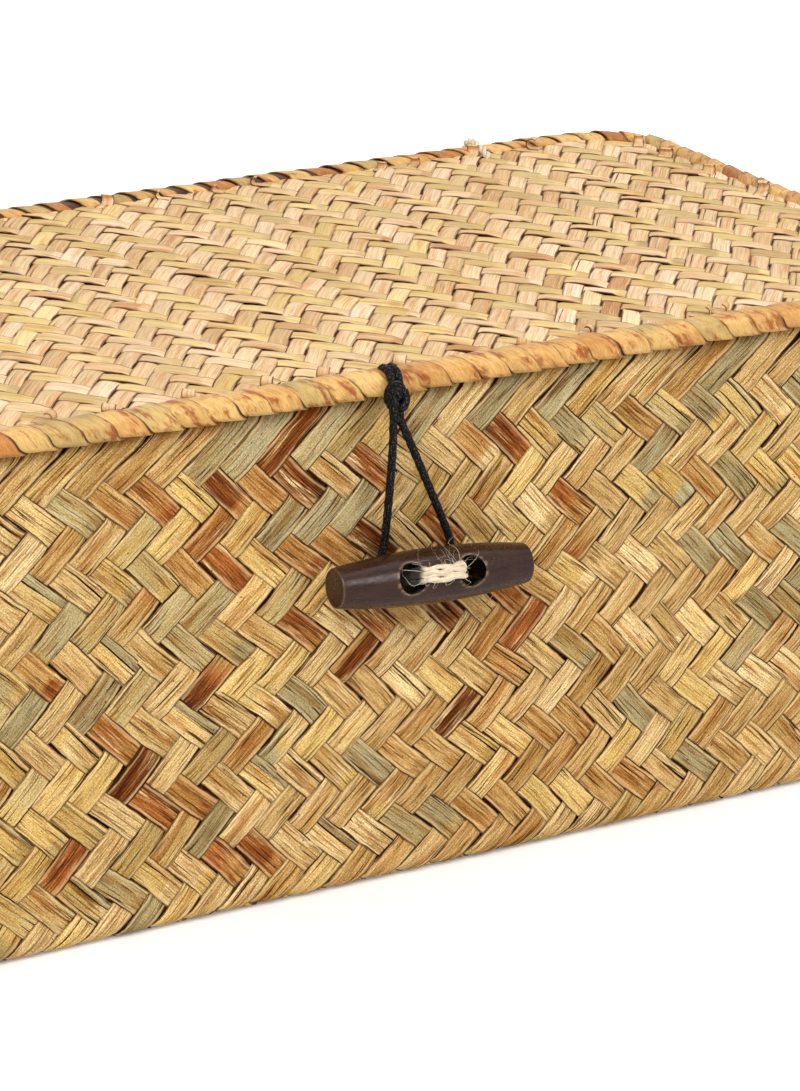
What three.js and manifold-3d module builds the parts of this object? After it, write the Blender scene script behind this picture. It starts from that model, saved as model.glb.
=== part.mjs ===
// Plaited seagrass box with a spiral-bound lid, shut by a wooden toggle and an elastic loop.
// Millimetres, +Z up. The front faces -Y and the origin is the middle of the base.
import * as THREE from 'three';
import { mergeVertices } from 'three/addons/utils/BufferGeometryUtils.js';
import Module from 'manifold-3d';

const wasm = await Module();
wasm.setup();

// Clearances
const SEAT_GAP = 0.3;
const LAYER_GAP = 0.25;
const BORE_GAP = 0.35;

// Box: an outer plaited shell, folded in at the mouth over a plaited lining
const BODY_LENGTH = 262;
const BODY_DEPTH = 134;
const BODY_HEIGHT = 100;
const CORNER_RADIUS = 14;
const BASE_EDGE_RADIUS = 4;
const LEAST_EDGE_RADIUS = 1;
const SHELL_THICKNESS = 2;
const LINING_THICKNESS = 1.6;
const MOUTH_FOLD_LIP = 0.85;

// Lid: two mats whose edges and a cane hoop are bound together by one spiral strip
const LID_OVERHANG = 4;
const TOP_MAT_THICKNESS = 1.1;
const UNDER_MAT_THICKNESS = 1.1;
const MAT_BITE = 2.8;
const MAT_CLEARANCE = 0.475;
const CANE_WIDTH = 1.3;
const CANE_HEIGHT = 2.2;
const CANE_CLEARANCE = 0.6;
const RIM_SQUARENESS = 2.6;
const BINDING_PITCH = 6.2;
const BINDING_THICKNESS = 0.6;
const BINDING_LAP = 0.4;
const BINDING_LEAN = 6.5;
const BINDING_SEAM_SHARE = 0.1;
const BINDING_LIP_ANGLE = THREE.MathUtils.degToRad(112);

// Toggle: a turned barrel with two cross holes
const TOGGLE_LENGTH = 41;
const TOGGLE_DIAMETER = 10.6;
const TOGGLE_END_DIAMETER = 7.6;
const TOGGLE_END_ROUND = 0.7;
const TOGGLE_HOLE_DIAMETER = 5.8;
const TOGGLE_HOLE_SPACING = 12.6;
const TOGGLE_X = 1.2;
const TOGGLE_DROP = 35;
const TOGGLE_TILT = THREE.MathUtils.degToRad(1.8);
const TOGGLE_ROLL = THREE.MathUtils.degToRad(20);

// Twine: the stitch that holds the toggle, and the loops that hinge the lid
const TWINE_DIAMETER = 2.4;
const TWINE_PLAY_IN_HOLE = 0.8;
const TIE_DIAMETER = 1.8;
const TIE_FROM_END = 39;
const TIE_BELOW_MOUTH = 7.5;
const TIE_SLACK = 5;

// Elastic: a doubled cord over the rim, a knot, and the loop behind the toggle
const ELASTIC_DIAMETER = 1.8;
const ELASTIC_KNOT_NARROWING = 0.8;
const ELASTIC_KNOT_X = -6;
const ELASTIC_KNOT_DROP = 2.4;
const ANCHOR_SIDE_STEP = 1;
const ANCHOR_BEHIND_RIM = 1.5;

// Overhand knots: the radius that a knot turns on, in cord diameters
const KNOT_TURN = 1.25;

// Facets
const CORNER_DIVISIONS = 3;
const FOLD_STEPS = 4;
const CORD_SIDES = 8;
const TOGGLE_SIDES = 28;
const BARREL_STEPS = 10;
const TIE_STEPS = 32;
const STITCH_STEPS = 48;
const LOOP_STEPS = 56;
const ANCHOR_STEPS = 18;
const KNOT_STEPS = 42;
const KNOT_SIDES = 6;
const BINDING_OUTER_POINTS = 7;
const BINDING_INNER_POINTS = 6;

// Places that follow from the sizes above
const FRONT_Y = -BODY_DEPTH / 2;
const WALL_THICKNESS = SHELL_THICKNESS + SEAT_GAP + LINING_THICKNESS;
const LID_LENGTH = BODY_LENGTH + 2 * LID_OVERHANG;
const LID_DEPTH = BODY_DEPTH + 2 * LID_OVERHANG;
const LID_CORNER_RADIUS = CORNER_RADIUS + LID_OVERHANG;
const BINDING_BUILD = BINDING_LAP + BINDING_THICKNESS;
const MATS_THICKNESS = UNDER_MAT_THICKNESS + LAYER_GAP + TOP_MAT_THICKNESS;
const CANE_MIDDLE_INSET = BINDING_BUILD + CANE_CLEARANCE + CANE_WIDTH / 2;
const MAT_INSET = CANE_MIDDLE_INSET + CANE_WIDTH / 2 + SEAT_GAP;
const RIM_WIDTH = MAT_INSET + MAT_BITE;
const RIM_FILLING = Math.max(MATS_THICKNESS + 2 * MAT_CLEARANCE, CANE_HEIGHT + 2 * CANE_CLEARANCE);
const RIM_HEIGHT = RIM_FILLING + 2 * BINDING_BUILD;
const RIM_BOTTOM_Z = BODY_HEIGHT + SEAT_GAP;
const RIM_MIDDLE_Z = RIM_BOTTOM_Z + RIM_HEIGHT / 2;
const RIM_TOP_Z = RIM_BOTTOM_Z + RIM_HEIGHT;
const RIM_FRONT_Y = -LID_DEPTH / 2;
const UNDER_MAT_Z = RIM_MIDDLE_Z - MATS_THICKNESS / 2;
const TOP_MAT_Z = UNDER_MAT_Z + UNDER_MAT_THICKNESS + LAYER_GAP;
const HINGE_Y = LID_DEPTH / 2;
const HINGE_Z = BODY_HEIGHT + SEAT_GAP / 2;
const TOGGLE_STANDOFF = ELASTIC_DIAMETER + 3 * SEAT_GAP;
const TOGGLE_Y = FRONT_Y - TOGGLE_STANDOFF - TOGGLE_DIAMETER / 2;
const TOGGLE_Z = BODY_HEIGHT - TOGGLE_DROP;
const TWINE_KNOT_RADIUS = KNOT_TURN * TWINE_DIAMETER;
const ELASTIC_KNOT_RADIUS = KNOT_TURN * ELASTIC_DIAMETER;
const ELASTIC_KNOT_Z = RIM_MIDDLE_Z - ELASTIC_KNOT_DROP;
const STRAND_PITCH = ELASTIC_DIAMETER + SEAT_GAP;
const ANCHOR_X = ELASTIC_KNOT_X + ANCHOR_SIDE_STEP;
const TIE_X = BODY_LENGTH / 2 - TIE_FROM_END;

/** Plan outline of a rounded rectangle, drawn inwards by an inset with concentric corners. */
function roundedOutline(length, depth, radius, inset = 0) {
  const x = length / 2 - radius;
  const y = depth / 2 - radius;
  const corner = radius - inset;
  const outline = new THREE.Shape();
  outline.absarc(x, -y, corner, -Math.PI / 2, 0);
  outline.absarc(x, y, corner, 0, Math.PI / 2);
  outline.absarc(-x, y, corner, Math.PI / 2, Math.PI);
  outline.absarc(-x, -y, corner, Math.PI, 1.5 * Math.PI);
  outline.closePath();
  return outline;
}

/** The corner points of an outline, once round, at one height. */
function ringAt(outline, z) {
  const points = outline.getPoints(CORNER_DIVISIONS);
  if (points.at(-1).distanceTo(points[0]) < 1e-6) {
    points.pop();
  }
  return points.map((point) => new THREE.Vector3(point.x, point.y, z));
}

/** Six times the signed volume that a closed indexed mesh holds. */
function signedVolume(vertices, indices) {
  let volume = 0;
  for (let i = 0; i < indices.length; i += 3) {
    const [a, b, c] = [vertices[indices[i]], vertices[indices[i + 1]], vertices[indices[i + 2]]];
    volume += a.dot(new THREE.Vector3().crossVectors(b, c));
  }
  return volume;
}

/** Skins rings of equal count: joined first to last when closed, and capped at both ends when not. */
function loft(rings, closed) {
  const count = rings[0].length;
  const vertices = rings.flat();
  const indices = [];
  const spans = closed ? rings.length : rings.length - 1;
  for (let i = 0; i < spans; i += 1) {
    const low = i * count;
    const high = ((i + 1) % rings.length) * count;
    for (let j = 0; j < count; j += 1) {
      const next = (j + 1) % count;
      indices.push(low + j, low + next, high + next, low + j, high + next, high + j);
    }
  }
  if (!closed) {
    const last = (rings.length - 1) * count;
    for (let j = 1; j < count - 1; j += 1) {
      indices.push(0, j + 1, j, last, last + j, last + j + 1);
    }
  }
  if (signedVolume(vertices, indices) < 0) {
    indices.reverse();
  }
  const geometry = new THREE.BufferGeometry().setFromPoints(vertices);
  geometry.setIndex(indices);
  return geometry;
}

/** Quarter turns of a profile, as [inset, height] pairs round a centre. */
function arc(inset, z, radius, from, to) {
  return Array.from({ length: FOLD_STEPS + 1 }, (_, i) => {
    const angle = from + ((to - from) * i) / FOLD_STEPS;
    return [inset - radius * Math.cos(angle), z + radius * Math.sin(angle)];
  });
}

/** A box-shaped shell whose wall and floor follow a profile from under the base to the inner floor. */
function vessel(profile) {
  const rings = profile.map(([inset, z]) =>
    ringAt(roundedOutline(BODY_LENGTH, BODY_DEPTH, CORNER_RADIUS, inset), z));
  return loft(rings, false);
}

/** A closed manifold solid made from a geometry whose seams are merged. */
function solid(geometry) {
  const bare = geometry.clone();
  bare.deleteAttribute('normal');
  bare.deleteAttribute('uv');
  const merged = mergeVertices(bare, 1e-4);
  return new wasm.Manifold(new wasm.Mesh({
    numProp: 3,
    vertProperties: new Float32Array(merged.attributes.position.array),
    triVerts: new Uint32Array(merged.index.array),
  }));
}

/** The geometry left after the cutters are taken from it. */
function cut(geometry, cutters) {
  const left = cutters.reduce((rest, cutter) => rest.subtract(solid(cutter)), solid(geometry));
  const mesh = left.getMesh();
  const result = new THREE.BufferGeometry();
  result.setAttribute('position', new THREE.BufferAttribute(new Float32Array(mesh.vertProperties), 3));
  result.setIndex(new THREE.BufferAttribute(new Uint32Array(mesh.triVerts), 1));
  return result;
}

/** A round section for a cord. */
function roundSection(radius) {
  const points = Array.from({ length: CORD_SIDES }, (_, i) => {
    const angle = (2 * Math.PI * i) / CORD_SIDES;
    return new THREE.Vector2(radius * Math.cos(angle), radius * Math.sin(angle));
  });
  return new THREE.Shape(points);
}

/** A section of two cords side by side, touching along the middle. */
function twinSection(radius) {
  const half = Math.PI * 0.75;
  const points = [1, -1].flatMap((side) => Array.from({ length: CORD_SIDES }, (_, i) => {
    const angle = -half + (2 * half * i) / (CORD_SIDES - 1);
    return new THREE.Vector2(
      side * radius * (Math.cos(angle) + Math.SQRT1_2),
      side * radius * Math.sin(angle),
    );
  }));
  return new THREE.Shape(points.filter((point, i) => point.distanceTo(points.at(i - 1)) > 1e-6));
}

/** A cord with flat ends that follows a smooth route. */
function cordAlong(points, section, steps) {
  const route = new THREE.CatmullRomCurve3(points.map((point) => new THREE.Vector3(...point)));
  return new THREE.ExtrudeGeometry(section, { steps, extrudePath: route });
}

/** A cord without ends that follows a smooth closed route. */
function loopAlong(points, radius, steps) {
  const route = new THREE.CatmullRomCurve3(points.map((point) => new THREE.Vector3(...point)), true);
  const { normals, binormals } = route.computeFrenetFrames(steps, true);
  const section = roundSection(radius).getPoints();
  const rings = Array.from({ length: steps }, (_, i) => section.slice(0, CORD_SIDES).map((corner) =>
    route.getPointAt(i / steps)
      .addScaledVector(normals[i], corner.x)
      .addScaledVector(binormals[i], corner.y)));
  return loft(rings, true);
}

/** A loop of twine that hinges the lid: close over the rim and the wall, slack inside the box. */
function hingeTie(x, radius) {
  const reach = SEAT_GAP + TIE_DIAMETER / 2;
  const wallY = BODY_DEPTH / 2;
  const innerY = wallY - WALL_THICKNESS - reach;
  const wallHoleZ = BODY_HEIGHT - TIE_BELOW_MOUTH;
  const rimInnerY = HINGE_Y - RIM_WIDTH;
  const route = [
    [x, wallY - WALL_THICKNESS / 2, wallHoleZ],
    [x, wallY + reach, wallHoleZ + reach],
    [x, wallY + reach + 0.7, (wallHoleZ + HINGE_Z) / 2 + 0.7],
    [x, HINGE_Y + 0.5, HINGE_Z - 0.2],
    [x, HINGE_Y + reach, RIM_MIDDLE_Z],
    [x, HINGE_Y + 0.2, RIM_TOP_Z + 0.4],
    [x, HINGE_Y - RIM_WIDTH / 2, RIM_TOP_Z + reach],
    [x, rimInnerY, RIM_TOP_Z + reach - 0.3],
    [x, innerY + 0.6, RIM_TOP_Z - 0.4],
    [x, innerY, RIM_MIDDLE_Z],
    [x, innerY - 0.1 * TIE_SLACK, UNDER_MAT_Z - reach],
    [x, innerY - 0.7 * TIE_SLACK, (wallHoleZ + HINGE_Z) / 2 + 1.3],
    [x, innerY - TIE_SLACK, wallHoleZ + 1.3],
    [x, innerY - 0.5 * TIE_SLACK, wallHoleZ - 0.9],
    [x, innerY + 0.6, wallHoleZ - 0.4],
  ];
  return loopAlong(route, radius, TIE_STEPS);
}

// Toggle and its stitch
const toAxis = TOGGLE_DIAMETER / 2;
const holeDirection = new THREE.Vector3(0, -Math.cos(TOGGLE_ROLL), Math.sin(TOGGLE_ROLL));
const alongToggle = new THREE.Vector3(Math.cos(TOGGLE_TILT), 0, -Math.sin(TOGGLE_TILT));
const toggleMiddle = new THREE.Vector3(TOGGLE_X, TOGGLE_Y, TOGGLE_Z);

/** A point in the toggle: a distance along the barrel from its middle, and one out along its holes. */
function inToggle(along, out) {
  const point = toggleMiddle.clone().addScaledVector(alongToggle, along);
  return point.addScaledVector(holeDirection, out);
}

/** The turned barrel, thickest in the middle, drilled and laid across the front. */
function toggleGeometry() {
  const half = TOGGLE_LENGTH / 2;
  const end = TOGGLE_END_DIAMETER / 2;
  const shoulder = half - TOGGLE_END_ROUND;
  const barrel = new THREE.QuadraticBezierCurve(
    new THREE.Vector2(end, -shoulder),
    new THREE.Vector2(2 * toAxis - end, 0),
    new THREE.Vector2(end, shoulder),
  );
  const profile = [
    new THREE.Vector2(0, -half),
    new THREE.Vector2(end - TOGGLE_END_ROUND, -half),
    ...barrel.getPoints(BARREL_STEPS),
    new THREE.Vector2(end - TOGGLE_END_ROUND, half),
    new THREE.Vector2(0, half),
  ];
  const turned = new THREE.LatheGeometry(profile, TOGGLE_SIDES);
  const holes = [-1, 1].map((side) => {
    const hole = new THREE.CylinderGeometry(
      TOGGLE_HOLE_DIAMETER / 2, TOGGLE_HOLE_DIAMETER / 2, 2 * TOGGLE_DIAMETER, TOGGLE_SIDES / 2);
    hole.rotateX(Math.PI / 2);
    hole.translate(0, (side * TOGGLE_HOLE_SPACING) / 2, 0);
    return hole;
  });
  const drilled = cut(turned, holes);
  drilled.rotateZ(-Math.PI / 2);
  drilled.rotateX(Math.PI / 2 - TOGGLE_ROLL);
  drilled.rotateY(TOGGLE_TILT);
  drilled.translate(TOGGLE_X, TOGGLE_Y, TOGGLE_Z);
  return drilled;
}

const twineRadius = TWINE_DIAMETER / 2;
const twineInHole = TOGGLE_HOLE_DIAMETER / 2 - twineRadius - TWINE_PLAY_IN_HOLE;
const stitchAlong = TOGGLE_HOLE_SPACING / 2 - twineInHole;
const stitchOut = toAxis + twineRadius + SEAT_GAP;
const stitchWallZ = inToggle(0, -toAxis).z;
const insideY = FRONT_Y + WALL_THICKNESS;
const twineKnotY = insideY + SEAT_GAP + TWINE_KNOT_RADIUS / 2 + twineRadius;

/** One leg of the stitch, from the knot inside the box out to the middle of the bridge. */
function stitchLeg(side) {
  const legX = inToggle(side * stitchAlong, 0).x;
  const insideRunY = insideY + twineRadius + SEAT_GAP;
  const route = [
    [TOGGLE_X + side * SEAT_GAP, insideRunY, stitchWallZ],
    [legX - side * twineRadius, insideRunY, stitchWallZ],
    [legX, insideY - twineRadius, stitchWallZ],
    [legX, FRONT_Y, stitchWallZ],
    inToggle(side * stitchAlong, -toAxis).toArray(),
    inToggle(side * stitchAlong, 0).toArray(),
    inToggle(side * (stitchAlong - 0.2), toAxis - 0.1).toArray(),
    inToggle(side * (stitchAlong - 1.3), stitchOut - 0.3).toArray(),
    inToggle(side * (stitchAlong - 2.7), stitchOut).toArray(),
  ];
  return route;
}

const stitchRoute = [
  ...stitchLeg(-1),
  inToggle(0, stitchOut + 0.1).toArray(),
  ...stitchLeg(1).reverse(),
];
const stitchBore = cordAlong(stitchRoute, roundSection(twineRadius + BORE_GAP), STITCH_STEPS);

/** An overhand knot in a cord, lying in the XZ plane. */
function overhandKnot(turnRadius, cordRadius) {
  const knot = new THREE.TorusKnotGeometry(turnRadius, cordRadius, KNOT_STEPS, KNOT_SIDES, 2, 3);
  return knot.rotateX(Math.PI / 2);
}

/** How far an overhand knot reaches from its middle. */
function knotReach(turnRadius, cordRadius) {
  return 1.5 * turnRadius + cordRadius;
}

/** The knot that ties the two ends of the stitch inside the box, under its legs. */
function twineKnotGeometry() {
  const knot = overhandKnot(TWINE_KNOT_RADIUS, twineRadius);
  const reach = knotReach(TWINE_KNOT_RADIUS, twineRadius);
  knot.translate(TOGGLE_X, twineKnotY, stitchWallZ - twineRadius - SEAT_GAP - reach);
  return knot;
}

// Elastic
const elasticRadius = ELASTIC_DIAMETER / 2;
const knotY = RIM_FRONT_Y - SEAT_GAP - ELASTIC_KNOT_RADIUS / 2 - elasticRadius;
const elasticKnotReach = knotReach(ELASTIC_KNOT_RADIUS, elasticRadius);
const loopTopZ = ELASTIC_KNOT_Z - elasticKnotReach - SEAT_GAP;
const behindToggleY = FRONT_Y - SEAT_GAP - elasticRadius;
const besideStitch = stitchAlong + twineRadius + SEAT_GAP + elasticRadius;
const underStitchZ = stitchWallZ - twineRadius - SEAT_GAP - elasticRadius;

/** The knot that gathers the doubled cord in front of the rim. */
function elasticKnotGeometry() {
  const knot = overhandKnot(ELASTIC_KNOT_RADIUS, elasticRadius);
  knot.scale(ELASTIC_KNOT_NARROWING, 1, 1);
  knot.translate(ELASTIC_KNOT_X, knotY, ELASTIC_KNOT_Z);
  return knot;
}

/** The loop hangs from the knot, leans in to the wall and passes under the stitch behind the toggle. */
function elasticLoopGeometry() {
  const left = TOGGLE_X - besideStitch;
  const right = TOGGLE_X + besideStitch;
  const rise = loopTopZ - TOGGLE_Z;
  const route = [
    [ELASTIC_KNOT_X - STRAND_PITCH / 2 + 0.8, knotY, loopTopZ],
    [ELASTIC_KNOT_X - STRAND_PITCH / 2 + 0.9, knotY + 1.1, loopTopZ - 0.13 * rise],
    [left + 1.3, behindToggleY - 2.1, TOGGLE_Z + 0.61 * rise],
    [left + 1.0, behindToggleY - 0.6, TOGGLE_Z + 0.32 * rise],
    [left + 0.7, behindToggleY, TOGGLE_Z + 0.14 * rise],
    [left, behindToggleY, stitchWallZ + 0.6],
    [left + 1.3, behindToggleY, underStitchZ + 0.5],
    [left + 5, behindToggleY, underStitchZ - 0.1],
    [right - 5, behindToggleY, underStitchZ - 0.1],
    [right - 1.3, behindToggleY, underStitchZ + 0.5],
    [right, behindToggleY, stitchWallZ + 0.6],
    [right - 0.1, behindToggleY, TOGGLE_Z + 0.14 * rise],
    [right - 3.0, behindToggleY - 0.6, TOGGLE_Z + 0.32 * rise],
    [right - 7.3, behindToggleY - 2.1, TOGGLE_Z + 0.61 * rise],
    [ELASTIC_KNOT_X + STRAND_PITCH / 2 + 1.2, knotY + 1.1, loopTopZ - 0.13 * rise],
    [ELASTIC_KNOT_X + STRAND_PITCH / 2 + 0.8, knotY, loopTopZ],
  ];
  return cordAlong(route, roundSection(elasticRadius), LOOP_STEPS);
}

const anchorY = RIM_FRONT_Y + RIM_WIDTH + ANCHOR_BEHIND_RIM - elasticRadius;
const anchorOverZ = RIM_TOP_Z + SEAT_GAP + elasticRadius;

/** The doubled cord that comes up through the top mat and lies over the rim to the knot. */
function elasticAnchorGeometry() {
  const rimMiddleY = RIM_FRONT_Y + RIM_WIDTH / 2;
  const route = [
    [ANCHOR_X, anchorY, TOP_MAT_Z],
    [ANCHOR_X, anchorY, TOP_MAT_Z + TOP_MAT_THICKNESS],
    [ANCHOR_X, anchorY - 0.5, anchorOverZ - 1],
    [ANCHOR_X, rimMiddleY + 1.2, anchorOverZ],
    [ANCHOR_X, rimMiddleY - 1.4, anchorOverZ],
    [ANCHOR_X, RIM_FRONT_Y - 0.3, anchorOverZ - 0.9],
    [ANCHOR_X, knotY + 0.6, ELASTIC_KNOT_Z + elasticKnotReach + SEAT_GAP],
  ];
  return cordAlong(route, twinSection(elasticRadius), ANCHOR_STEPS);
}

/** The slit in the top mat that the doubled cord comes through. */
function anchorSlot() {
  const slot = new THREE.BoxGeometry(
    2 * (ELASTIC_DIAMETER + SEAT_GAP), ELASTIC_DIAMETER + 2 * SEAT_GAP, 2 * TOP_MAT_THICKNESS);
  slot.translate(ANCHOR_X, anchorY, TOP_MAT_Z + TOP_MAT_THICKNESS / 2);
  return slot;
}

// Box
const tieBores = [-1, 1].map((side) => hingeTie(side * TIE_X, TIE_DIAMETER / 2 + BORE_GAP));

const foldRadius = WALL_THICKNESS / 2;
const foldUnderZ = BODY_HEIGHT - foldRadius - MOUTH_FOLD_LIP;

/** The rounded edge between the floor and the wall of a layer that lies deep inside the outline. */
function baseEdge(deep, from, to) {
  const radius = Math.max(BASE_EDGE_RADIUS - deep, LEAST_EDGE_RADIUS);
  return arc(deep + radius, deep + radius, radius, from, to);
}

/** The outer plait: base, walls, and the mouth where it folds inwards over the lining. */
function shellGeometry() {
  return vessel([
    ...baseEdge(0, -Math.PI / 2, 0),
    ...arc(foldRadius, BODY_HEIGHT - foldRadius, foldRadius, 0, Math.PI),
    [WALL_THICKNESS, foldUnderZ],
    [SHELL_THICKNESS, foldUnderZ],
    ...baseEdge(SHELL_THICKNESS, 0, -Math.PI / 2),
  ]);
}

/** The inner plait, standing in the shell and caught under its folded mouth. */
function liningGeometry() {
  const outer = SHELL_THICKNESS + SEAT_GAP;
  const topZ = foldUnderZ - SEAT_GAP;
  return vessel([
    ...baseEdge(outer, -Math.PI / 2, 0),
    [outer, topZ],
    [WALL_THICKNESS, topZ],
    ...baseEdge(WALL_THICKNESS, 0, -Math.PI / 2),
  ]);
}

/** One flat mat of the lid, its edge caught in the binding. */
function matGeometry(z, thickness) {
  const outline = roundedOutline(LID_LENGTH, LID_DEPTH, LID_CORNER_RADIUS, MAT_INSET);
  const mat = new THREE.ExtrudeGeometry(outline, {
    depth: thickness, bevelEnabled: false, curveSegments: CORNER_DIVISIONS,
  });
  mat.translate(0, 0, z);
  return mat;
}

/** The oval cane hoop that stiffens the edge of the lid. */
function caneGeometry() {
  const rings = Array.from({ length: CORD_SIDES }, (_, i) => {
    const angle = (2 * Math.PI * i) / CORD_SIDES;
    const inset = CANE_MIDDLE_INSET + (CANE_WIDTH / 2) * Math.cos(angle);
    const z = RIM_MIDDLE_Z + (CANE_HEIGHT / 2) * Math.sin(angle);
    return ringAt(roundedOutline(LID_LENGTH, LID_DEPTH, LID_CORNER_RADIUS, inset), z);
  });
  return loft(rings, true);
}

/** A point of the rim's squared oval, at an angle from straight out, as [out, up]. */
function ovalPoint(angle, halfWidth, halfHeight) {
  const power = 2 / RIM_SQUARENESS;
  const squared = (value) => Math.sign(value) * Math.abs(value) ** power;
  return [halfWidth * squared(Math.cos(angle)), halfHeight * squared(Math.sin(angle))];
}

/** The section of the binding, open towards the mats; it swells from one seam to the next. */
function bindingSection(swell) {
  const sweep = (count, shrink, sign) => Array.from({ length: count }, (_, i) => {
    const angle = sign * BINDING_LIP_ANGLE * ((2 * i) / (count - 1) - 1);
    return ovalPoint(angle, RIM_WIDTH / 2 - shrink, RIM_HEIGHT / 2 - shrink);
  });
  return [
    ...sweep(BINDING_OUTER_POINTS, BINDING_LAP * (1 - swell), 1),
    ...sweep(BINDING_INNER_POINTS, BINDING_BUILD, -1),
  ];
}

/** One strip wound round the edge of the lid: each wrap leans and laps over the one before it. */
function bindingGeometry() {
  const middle = roundedOutline(LID_LENGTH, LID_DEPTH, LID_CORNER_RADIUS, RIM_WIDTH / 2);
  const length = middle.getLength();
  const wraps = Math.round(length / BINDING_PITCH);
  const rings = [];
  for (let wrap = 0; wrap < wraps; wrap += 1) {
    for (const [share, swell] of [[0, 0], [1 - BINDING_SEAM_SHARE, 1]]) {
      const along = (wrap + share) / wraps;
      rings.push(bindingSection(swell).map(([out, up]) => {
        const leaning = along - (BINDING_LEAN * up) / RIM_HEIGHT / length;
        const place = THREE.MathUtils.euclideanModulo(leaning, 1);
        const point = middle.getPoint(place);
        const ahead = middle.getTangent(place);
        return new THREE.Vector3(point.x + ahead.y * out, point.y - ahead.x * out, RIM_MIDDLE_Z + up);
      }));
    }
  }
  return loft(rings, true);
}

// Assembly
const SEAGRASS = { color: 0xb98c4c, roughness: 0.75, metalness: 0 };
const PALE_SEAGRASS = { color: 0xd9b57c, roughness: 0.75, metalness: 0 };
const GOLDEN_STRIP = { color: 0xd7a049, roughness: 0.55, metalness: 0 };
const CANE = { color: 0xc9a468, roughness: 0.6, metalness: 0 };
const DARK_WOOD = { color: 0x4a3833, roughness: 0.4, metalness: 0 };
const COTTON = { color: 0xe6d9ba, roughness: 0.9, metalness: 0 };
const BLACK_ELASTIC = { color: 0x1c1d20, roughness: 0.7, metalness: 0 };

/** A named piece with its own finish. */
function piece(name, geometry, finish) {
  geometry.computeVertexNormals();
  const mesh = new THREE.Mesh(geometry, new THREE.MeshStandardMaterial(finish));
  mesh.name = name;
  return mesh;
}

/** Pieces that move together. */
function groupOf(...pieces) {
  return new THREE.Group().add(...pieces);
}

const box = groupOf(
  piece('body_shell', cut(shellGeometry(), [...tieBores, stitchBore]), SEAGRASS),
  piece('body_lining', cut(liningGeometry(), [...tieBores, stitchBore]), PALE_SEAGRASS),
  piece('hinge_tie_left', hingeTie(-TIE_X, TIE_DIAMETER / 2), COTTON),
  piece('hinge_tie_right', hingeTie(TIE_X, TIE_DIAMETER / 2), COTTON),
  piece('twine_knot', twineKnotGeometry(), COTTON),
);

const lid = groupOf(
  piece('lid_top_mat', cut(matGeometry(TOP_MAT_Z, TOP_MAT_THICKNESS), [...tieBores, anchorSlot()]),
    PALE_SEAGRASS),
  piece('lid_under_mat', cut(matGeometry(UNDER_MAT_Z, UNDER_MAT_THICKNESS), tieBores), PALE_SEAGRASS),
  piece('lid_rim_cane', caneGeometry(), CANE),
  piece('lid_rim_binding', bindingGeometry(), GOLDEN_STRIP),
  piece('elastic_anchor', elasticAnchorGeometry(), BLACK_ELASTIC),
  piece('elastic_knot', elasticKnotGeometry(), BLACK_ELASTIC),
);

const toggle = groupOf(
  piece('toggle', toggleGeometry(), DARK_WOOD),
  piece('toggle_twine', cordAlong(stitchRoute, roundSection(twineRadius), STITCH_STEPS), COTTON),
);

const loop = groupOf(piece('elastic_loop', elasticLoopGeometry(), BLACK_ELASTIC));

export default groupOf(box, lid, toggle, loop);
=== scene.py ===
"""Plaited seagrass box with a spiral-bound lid, a wooden toggle and an elastic loop."""
import itertools
import logging
import math
from dataclasses import dataclass, field
from enum import Enum
from typing import Any, Callable, Optional, Sequence

import bmesh
import bpy
import numpy as np
from mathutils import Matrix, Vector


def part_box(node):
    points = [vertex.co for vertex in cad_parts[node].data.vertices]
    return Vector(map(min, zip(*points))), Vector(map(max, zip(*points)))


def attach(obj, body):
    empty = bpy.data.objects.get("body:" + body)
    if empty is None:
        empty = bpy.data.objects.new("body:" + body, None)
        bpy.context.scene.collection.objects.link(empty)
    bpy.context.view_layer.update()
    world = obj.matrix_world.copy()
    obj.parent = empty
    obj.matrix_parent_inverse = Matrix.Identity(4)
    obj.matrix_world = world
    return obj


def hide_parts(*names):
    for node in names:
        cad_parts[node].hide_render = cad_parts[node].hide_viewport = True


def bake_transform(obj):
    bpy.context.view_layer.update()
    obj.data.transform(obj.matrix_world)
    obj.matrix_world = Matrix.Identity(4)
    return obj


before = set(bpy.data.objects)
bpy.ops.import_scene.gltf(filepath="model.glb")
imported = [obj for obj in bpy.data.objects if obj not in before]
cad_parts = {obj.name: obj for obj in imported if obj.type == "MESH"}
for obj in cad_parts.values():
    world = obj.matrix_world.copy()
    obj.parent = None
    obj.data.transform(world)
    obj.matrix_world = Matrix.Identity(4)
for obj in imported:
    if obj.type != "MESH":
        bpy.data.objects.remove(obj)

LOG = logging.getLogger("woven_box")
MM = 0.001
ROOT_TWO = math.sqrt(2)
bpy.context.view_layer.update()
UV_NAME = "strip_uv"
WELD = 1e-7  # vertices nearer than this become one
FLOATS = 61  # floats of a strip that have a shade and a tilt of their own
UNTWISTED = 1e9  # the lay of plies that run side by side
CORD_SKEW = (0.31, 0.17, 0.93)  # no cord starts along this direction
HAIR_SKEW = (0.37, 0.51, 0.77)  # no hair lies along this direction

Array = np.ndarray
Colour = tuple[float, float, float]
Point = tuple[float, float, float]
Wrap = Callable[[Array, Array, Array], Array]
Reach = Callable[[Array, Array], Any]
Mesh = bpy.types.Mesh
Material = bpy.types.Material
Piece = bpy.types.Object
Node = bpy.types.Node
Socket = bpy.types.NodeSocket
Tree = bpy.types.NodeTree


def srgb(red: int, green: int, blue: int) -> Colour:
    """Turns a display colour into the linear one that shaders take.

    Args:
        red: Red from 0 to 255.
        green: Green from 0 to 255.
        blue: Blue from 0 to 255.

    Returns:
        The linear colour.
    """
    shares = [value / 255 for value in (red, green, blue)]
    return tuple(s / 12.92 if s <= 0.04045 else ((s + 0.055) / 1.055) ** 2.4 for s in shares)


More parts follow.
